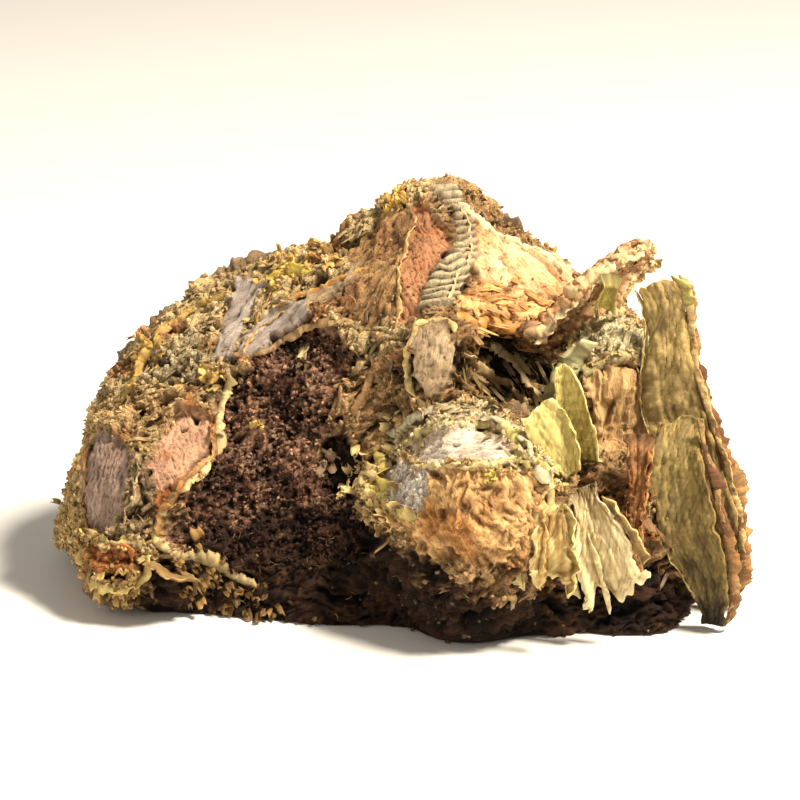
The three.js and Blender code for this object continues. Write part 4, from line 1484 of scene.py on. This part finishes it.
def dried_sheet(sheet, look):
    """A packed sheet as it dried: crumpled, pleated or rippled, with torn edges and a root that is tucked
    into the body."""
    rows, columns = look["rows"], look["columns"]
    rise, side = (grid.ravel() for grid in np.mgrid[0 : 1 : rows * 1j, -1 : 1 : columns * 1j])
    half = sheet.half_width(rise)
    apart = 40 * look["seed"]
    own = np.stack([side * half.mean(), rise * sheet.length, np.full_like(rise, apart)], axis=1)
    over = own @ [[1, 0.61, 0.37], [0, 0, 0], [0, 0, 1]]
    teeth = look["teeth"] * (0.9 * noise(over / 3.6, 101) + 0.5 * noise(over / 1.4, 102) - 0.6)
    torn = rise + step(0.7, 1.0, rise) * teeth / sheet.length
    beside = own @ [[0, 0, 0], [0.61, 1, 0.37], [0, 0, 1]] + np.sign(side)[:, None] * [9, 0, 0]
    bites = step(0.3, 0.7, noise(beside / 3.0, 115))
    nicks = 0.8 * noise(beside / 6.0, 103) + 0.3 * noise(beside / 2.1, 104)
    nicks += 0.12 * noise(beside / 0.9, 116)
    nicks = nicks - 0.9 * bites - 0.1
    worn = side * (1 + look["nicks"] * nicks / np.maximum(half, 1) * np.abs(side) ** 3)
    middle = sheet.place(torn, worn)

    folds = noise(own / [half.mean() * look["fold_width"], sheet.length * 0.9, 9], 105)
    creases = ridges(own / [2.4, 7.0, 9], 117) ** 2
    relief = look["crumple"] * (0.6 * noise(own / 6.5, 106) + 0.25 * noise(own / 2.2, 107) + 0.3 * creases)
    relief += look["pleats"] * folds * (0.3 + 0.7 * rise)
    phase = own[:, 1] * math.tau / 1.4 + 1.2 * noise(own / 3.0, 108)
    relief += look["ripples"] * np.sin(phase) * (1 - side**2)
    relief += look["curl"] * np.abs(side) ** 3 - look["tuck"] * step(0.14, 0.0, rise)
    relief += 0.14 * ridges(own / [0.7, 5.0, 9], 109) + 0.12 * ridges(own / [1.1, 1.8, 9], 118)
    slanting = own @ [[0.87, 0.5, 0], [-0.5, 0.87, 0], [0, 0, 1]]
    wrinkles = ridges(slanting / [0.6, 8.0, 9], 119)
    relief += 0.14 * wrinkles - look["dive"] * step(0.84, 1.0, rise)
    _, normal = shell(middle, rows, columns, np.zeros(len(middle)))
    normal *= np.sign(normal @ sheet.out)[:, None]
    middle = middle + normal * relief[:, None]

    rim = np.maximum(step(0.88, 1.0, np.abs(side)), step(0.95, 1.0, rise))
    crust = look["crust"] * np.clip(0.4 + ridges(own / 1.4, 110) * 0.7 + 0.6 * noise(own / 0.8, 111), 0, 2)
    thickness = look["thickness"] * (1 - 0.6 * rim) + crust * (1 - 0.8 * rim)
    places, _ = shell(middle, rows, columns, thickness)
    tone = 0.5 + 0.3 * noise(own / [0.8, 9.0, 9], 112) + 0.35 * noise(own / 4.5, 113)
    tone += 0.3 * folds * look["pleats"] - 0.25 * creases + 0.2 * (wrinkles - 0.5)
    tone = np.clip(tone + look["fade"] * (rise - 0.5), 0, 1)
    tint = mixed(linear(look["dark"]), linear(look["light"]), tone)
    tint += (0.8 * rim * step(-0.3, 0.2, noise(own / 1.6, 114)))[:, None] * (linear(look["edge"]) - tint)
    # Darker at the root, where the sheet goes into the body: painted shade.
    tint *= (0.45 + 0.55 * step(0.0, 0.2, rise))[:, None]
    patch = Patch(places, closed_sheet(columns, rows), np.tile(tint, (2, 1)), np.tile(own, (2, 1)))
    patch.ground = Ground(places[: len(middle)], normal, tint, np.tile(sheet.along, (len(middle), 1)), rim)
    return patch


# Frills on the sheets: side is where one grows across the sheet, from -1, left, to 1, right, span where it
# starts and ends along it, and turn how far it is bent back, in radians.
SHEET_FRILLS = {
    "tall_bark_sheet": [
        dict(side=0.97, colour="#cfae72", width=1.2, turn=0.2, calm=2.4),
        dict(side=0.99, colour="#a5743e", width=1.9, turn=0.7, calm=2.4),
        dict(side=0.95, colour="#6d4526", width=2.3, turn=1.1, calm=2.4, span=(0.05, 0.9)),
        dict(side=0.99, colour="#946234", width=2.1, turn=0.9, calm=2.4, span=(0.0, 0.8)),
        dict(side=0.9, colour="#7a4e28", width=2.4, turn=0.75, calm=2.4, span=(0.0, 0.65)),
        dict(side=0.93, colour="#a67a46", width=2.9, turn=0.6, calm=2.4, span=(0.02, 0.5)),
        dict(side=0.7, colour="#c6b46a", width=4.4, turn=0.1, span=(0.9, 1.0), calm=3.0, crinkle=0.2),
        dict(side=-0.98, colour="#cdb87c", width=0.7, turn=2.8, span=(0.3, 0.97)),
    ],
    "low_bark_sheet": [
        dict(side=0.95, colour="#b08a54", width=1.2, turn=0.4, calm=2.4),
        dict(side=0.97, colour="#7a4e2a", width=1.9, turn=0.8, calm=2.4, span=(0.0, 0.9)),
        dict(side=0.97, colour="#916636", width=1.9, turn=0.6, calm=2.4, span=(0.0, 0.8)),
        dict(side=-0.97, colour="#c2aa6c", width=0.8, turn=2.8, span=(0.1, 0.9)),
    ],
    "crest_tongue": [
        dict(side=-0.9, colour="#ecd0a0", width=1.6, turn=-0.8),
        dict(side=-0.5, colour="#dfb080", width=1.8, turn=-1.2),
        dict(side=0.0, colour="#ecd6a4", width=1.6, turn=-1.4),
        dict(side=0.4, colour="#d8a470", width=1.7, turn=-1.3),
        dict(side=0.9, colour="#e2c684", width=1.8, turn=-0.6),
    ],
    "fan_scale": [
        dict(side=-0.95, colour="#d8b87a", width=1.6, turn=2.4, span=(0.1, 0.7), calm=2.0),
        dict(side=0.3, colour="#e2d2a0", width=1.4, turn=-0.9, span=(0.3, 1.0), calm=5.0, crinkle=0.2),
        dict(side=0.95, colour="#e2cf94", width=2.0, turn=0.3, span=(0.1, 0.8), calm=2.0),
    ],
    "crust_scale": [
        dict(side=-0.9, colour="#e2ca86", width=2.2, turn=2.6),
        dict(side=0.2, colour="#d8b878", width=1.6, turn=-1.0),
        dict(side=0.9, colour="#e6d18c", width=2.0, turn=0.3),
    ],
    "folded_yellow_scale": [
        dict(side=0.7, colour="#dccc7c", width=2.0, turn=-0.9, span=(0.1, 0.9), calm=6.0, crinkle=0.1),
    ],
    "strip_scale": [
        dict(side=-0.7, colour="#b07840", width=1.6, turn=-1.1, span=(0.1, 0.9)),
        dict(side=0.6, colour="#8a5830", width=1.8, turn=-0.8, span=(0.2, 1.0)),
    ],
}


def sheet_frill(sheet, seed, side, colour, width, turn, span=(0.0, 1.0), **waves):
    """A frill on a sheet, rooted on its middle surface."""
    rise = np.linspace(*span, int(sheet.length * (span[1] - span[0]) / FRILL_STEP) + 2)
    roots = sheet.place(rise, np.full_like(rise, side))
    return frill(roots, sheet.across, -sheet.out, seed, colour, width, turn, **waves)


for name, look in SHEETS.items():
    look = SHEET_DEFAULTS | look
    sheet = PackedSheet(name, look["tip"], look["edges"])
    body = dried_sheet(sheet, look)
    layers = [
        sheet_frill(sheet, 60 + 7 * n + look["seed"], **settings)
        for n, settings in enumerate(SHEET_FRILLS.get(name, []))
    ]
    if look["crust"]:
        chosen = pick(0.3 + body.ground.rim, CRUST_CRUMBS)
        torn_colours = dry_colours(body.ground, chosen, 0.5)
        layers.append(crumbs(body.ground, chosen, draws.uniform(0.4, 1.2, len(chosen)), torn_colours))
    joined(name + "_dried", [body, *layers], look["material"], look["slot"], name)


# ---- Floor, light and camera --------------------------------------------------------------------

CAMERA_REACH = 0.45  # m from the middle of the root
SHOWN_WIDTH = 0.115  # m, how wide a slice of the scene the picture holds at the root
SENSOR = 36.0  # mm
MIDDLE = (0, 0, 0.027)  # m
BOARD_REACH = 1500  # mm from the middle of the board to each side


def aim(thing, target):
    """Turns a camera or a light towards a place."""
    thing.rotation_mode = "QUATERNION"
    thing.rotation_quaternion = (Vector(target) - thing.location).to_track_quat("-Z", "Y")


def floor():
    """A pale matt board."""
    corners = [(x * BOARD_REACH, y * BOARD_REACH, 0) for x, y in ((-1, -1), (1, -1), (1, 1), (-1, 1))]
    board = piece("floor", corners, [(0, 1, 2, 3)])
    material, tree = new_material("pale matt board")
    board_paint = {"Base Color": paint("#eceae6"), "Roughness": 0.9}
    finished_board = node(tree, "ShaderNodeBsdfPrincipled", inputs=board_paint).outputs[0]
    node(tree, "ShaderNodeOutputMaterial", inputs={"Surface": finished_board})
    board.data.materials.append(material)


def softbox(name, place, size, power, colour):
    """A square lamp, its place and size in m and its power in watts, turned towards the root."""
    lamp = bpy.data.lights.new(name, "AREA")
    lamp.shape = "SQUARE"
    lamp.size = size
    lamp.energy = power
    lamp.color = linear(colour)
    shown = bpy.data.objects.new(name, lamp)
    bpy.context.scene.collection.objects.link(shown)
    shown.location = place
    aim(shown, MIDDLE)


floor()
softbox("key_light", (0.36, -0.14, 0.6), 0.15, 12, "#fff4e2")
softbox("fill_light", (-0.5, -0.6, 0.35), 0.6, 1.6, "#fff6ea")
world = bpy.data.worlds.new("studio")
bpy.context.scene.world = world
world.use_nodes = True
world.node_tree.nodes["Background"].inputs["Color"].default_value = paint("#fbf1e4")
world.node_tree.nodes["Background"].inputs["Strength"].default_value = 0.35

camera = bpy.data.objects.new("camera", bpy.data.cameras.new("camera"))
bpy.context.scene.collection.objects.link(camera)
bpy.context.scene.camera = camera
camera.location = Vector(MIDDLE) + CAMERA_REACH * Vector(TOWARDS)
aim(camera, MIDDLE)
camera.data.sensor_width = SENSOR
camera.data.lens = SENSOR * CAMERA_REACH / SHOWN_WIDTH
bpy.context.scene.view_settings.view_transform = "Standard"
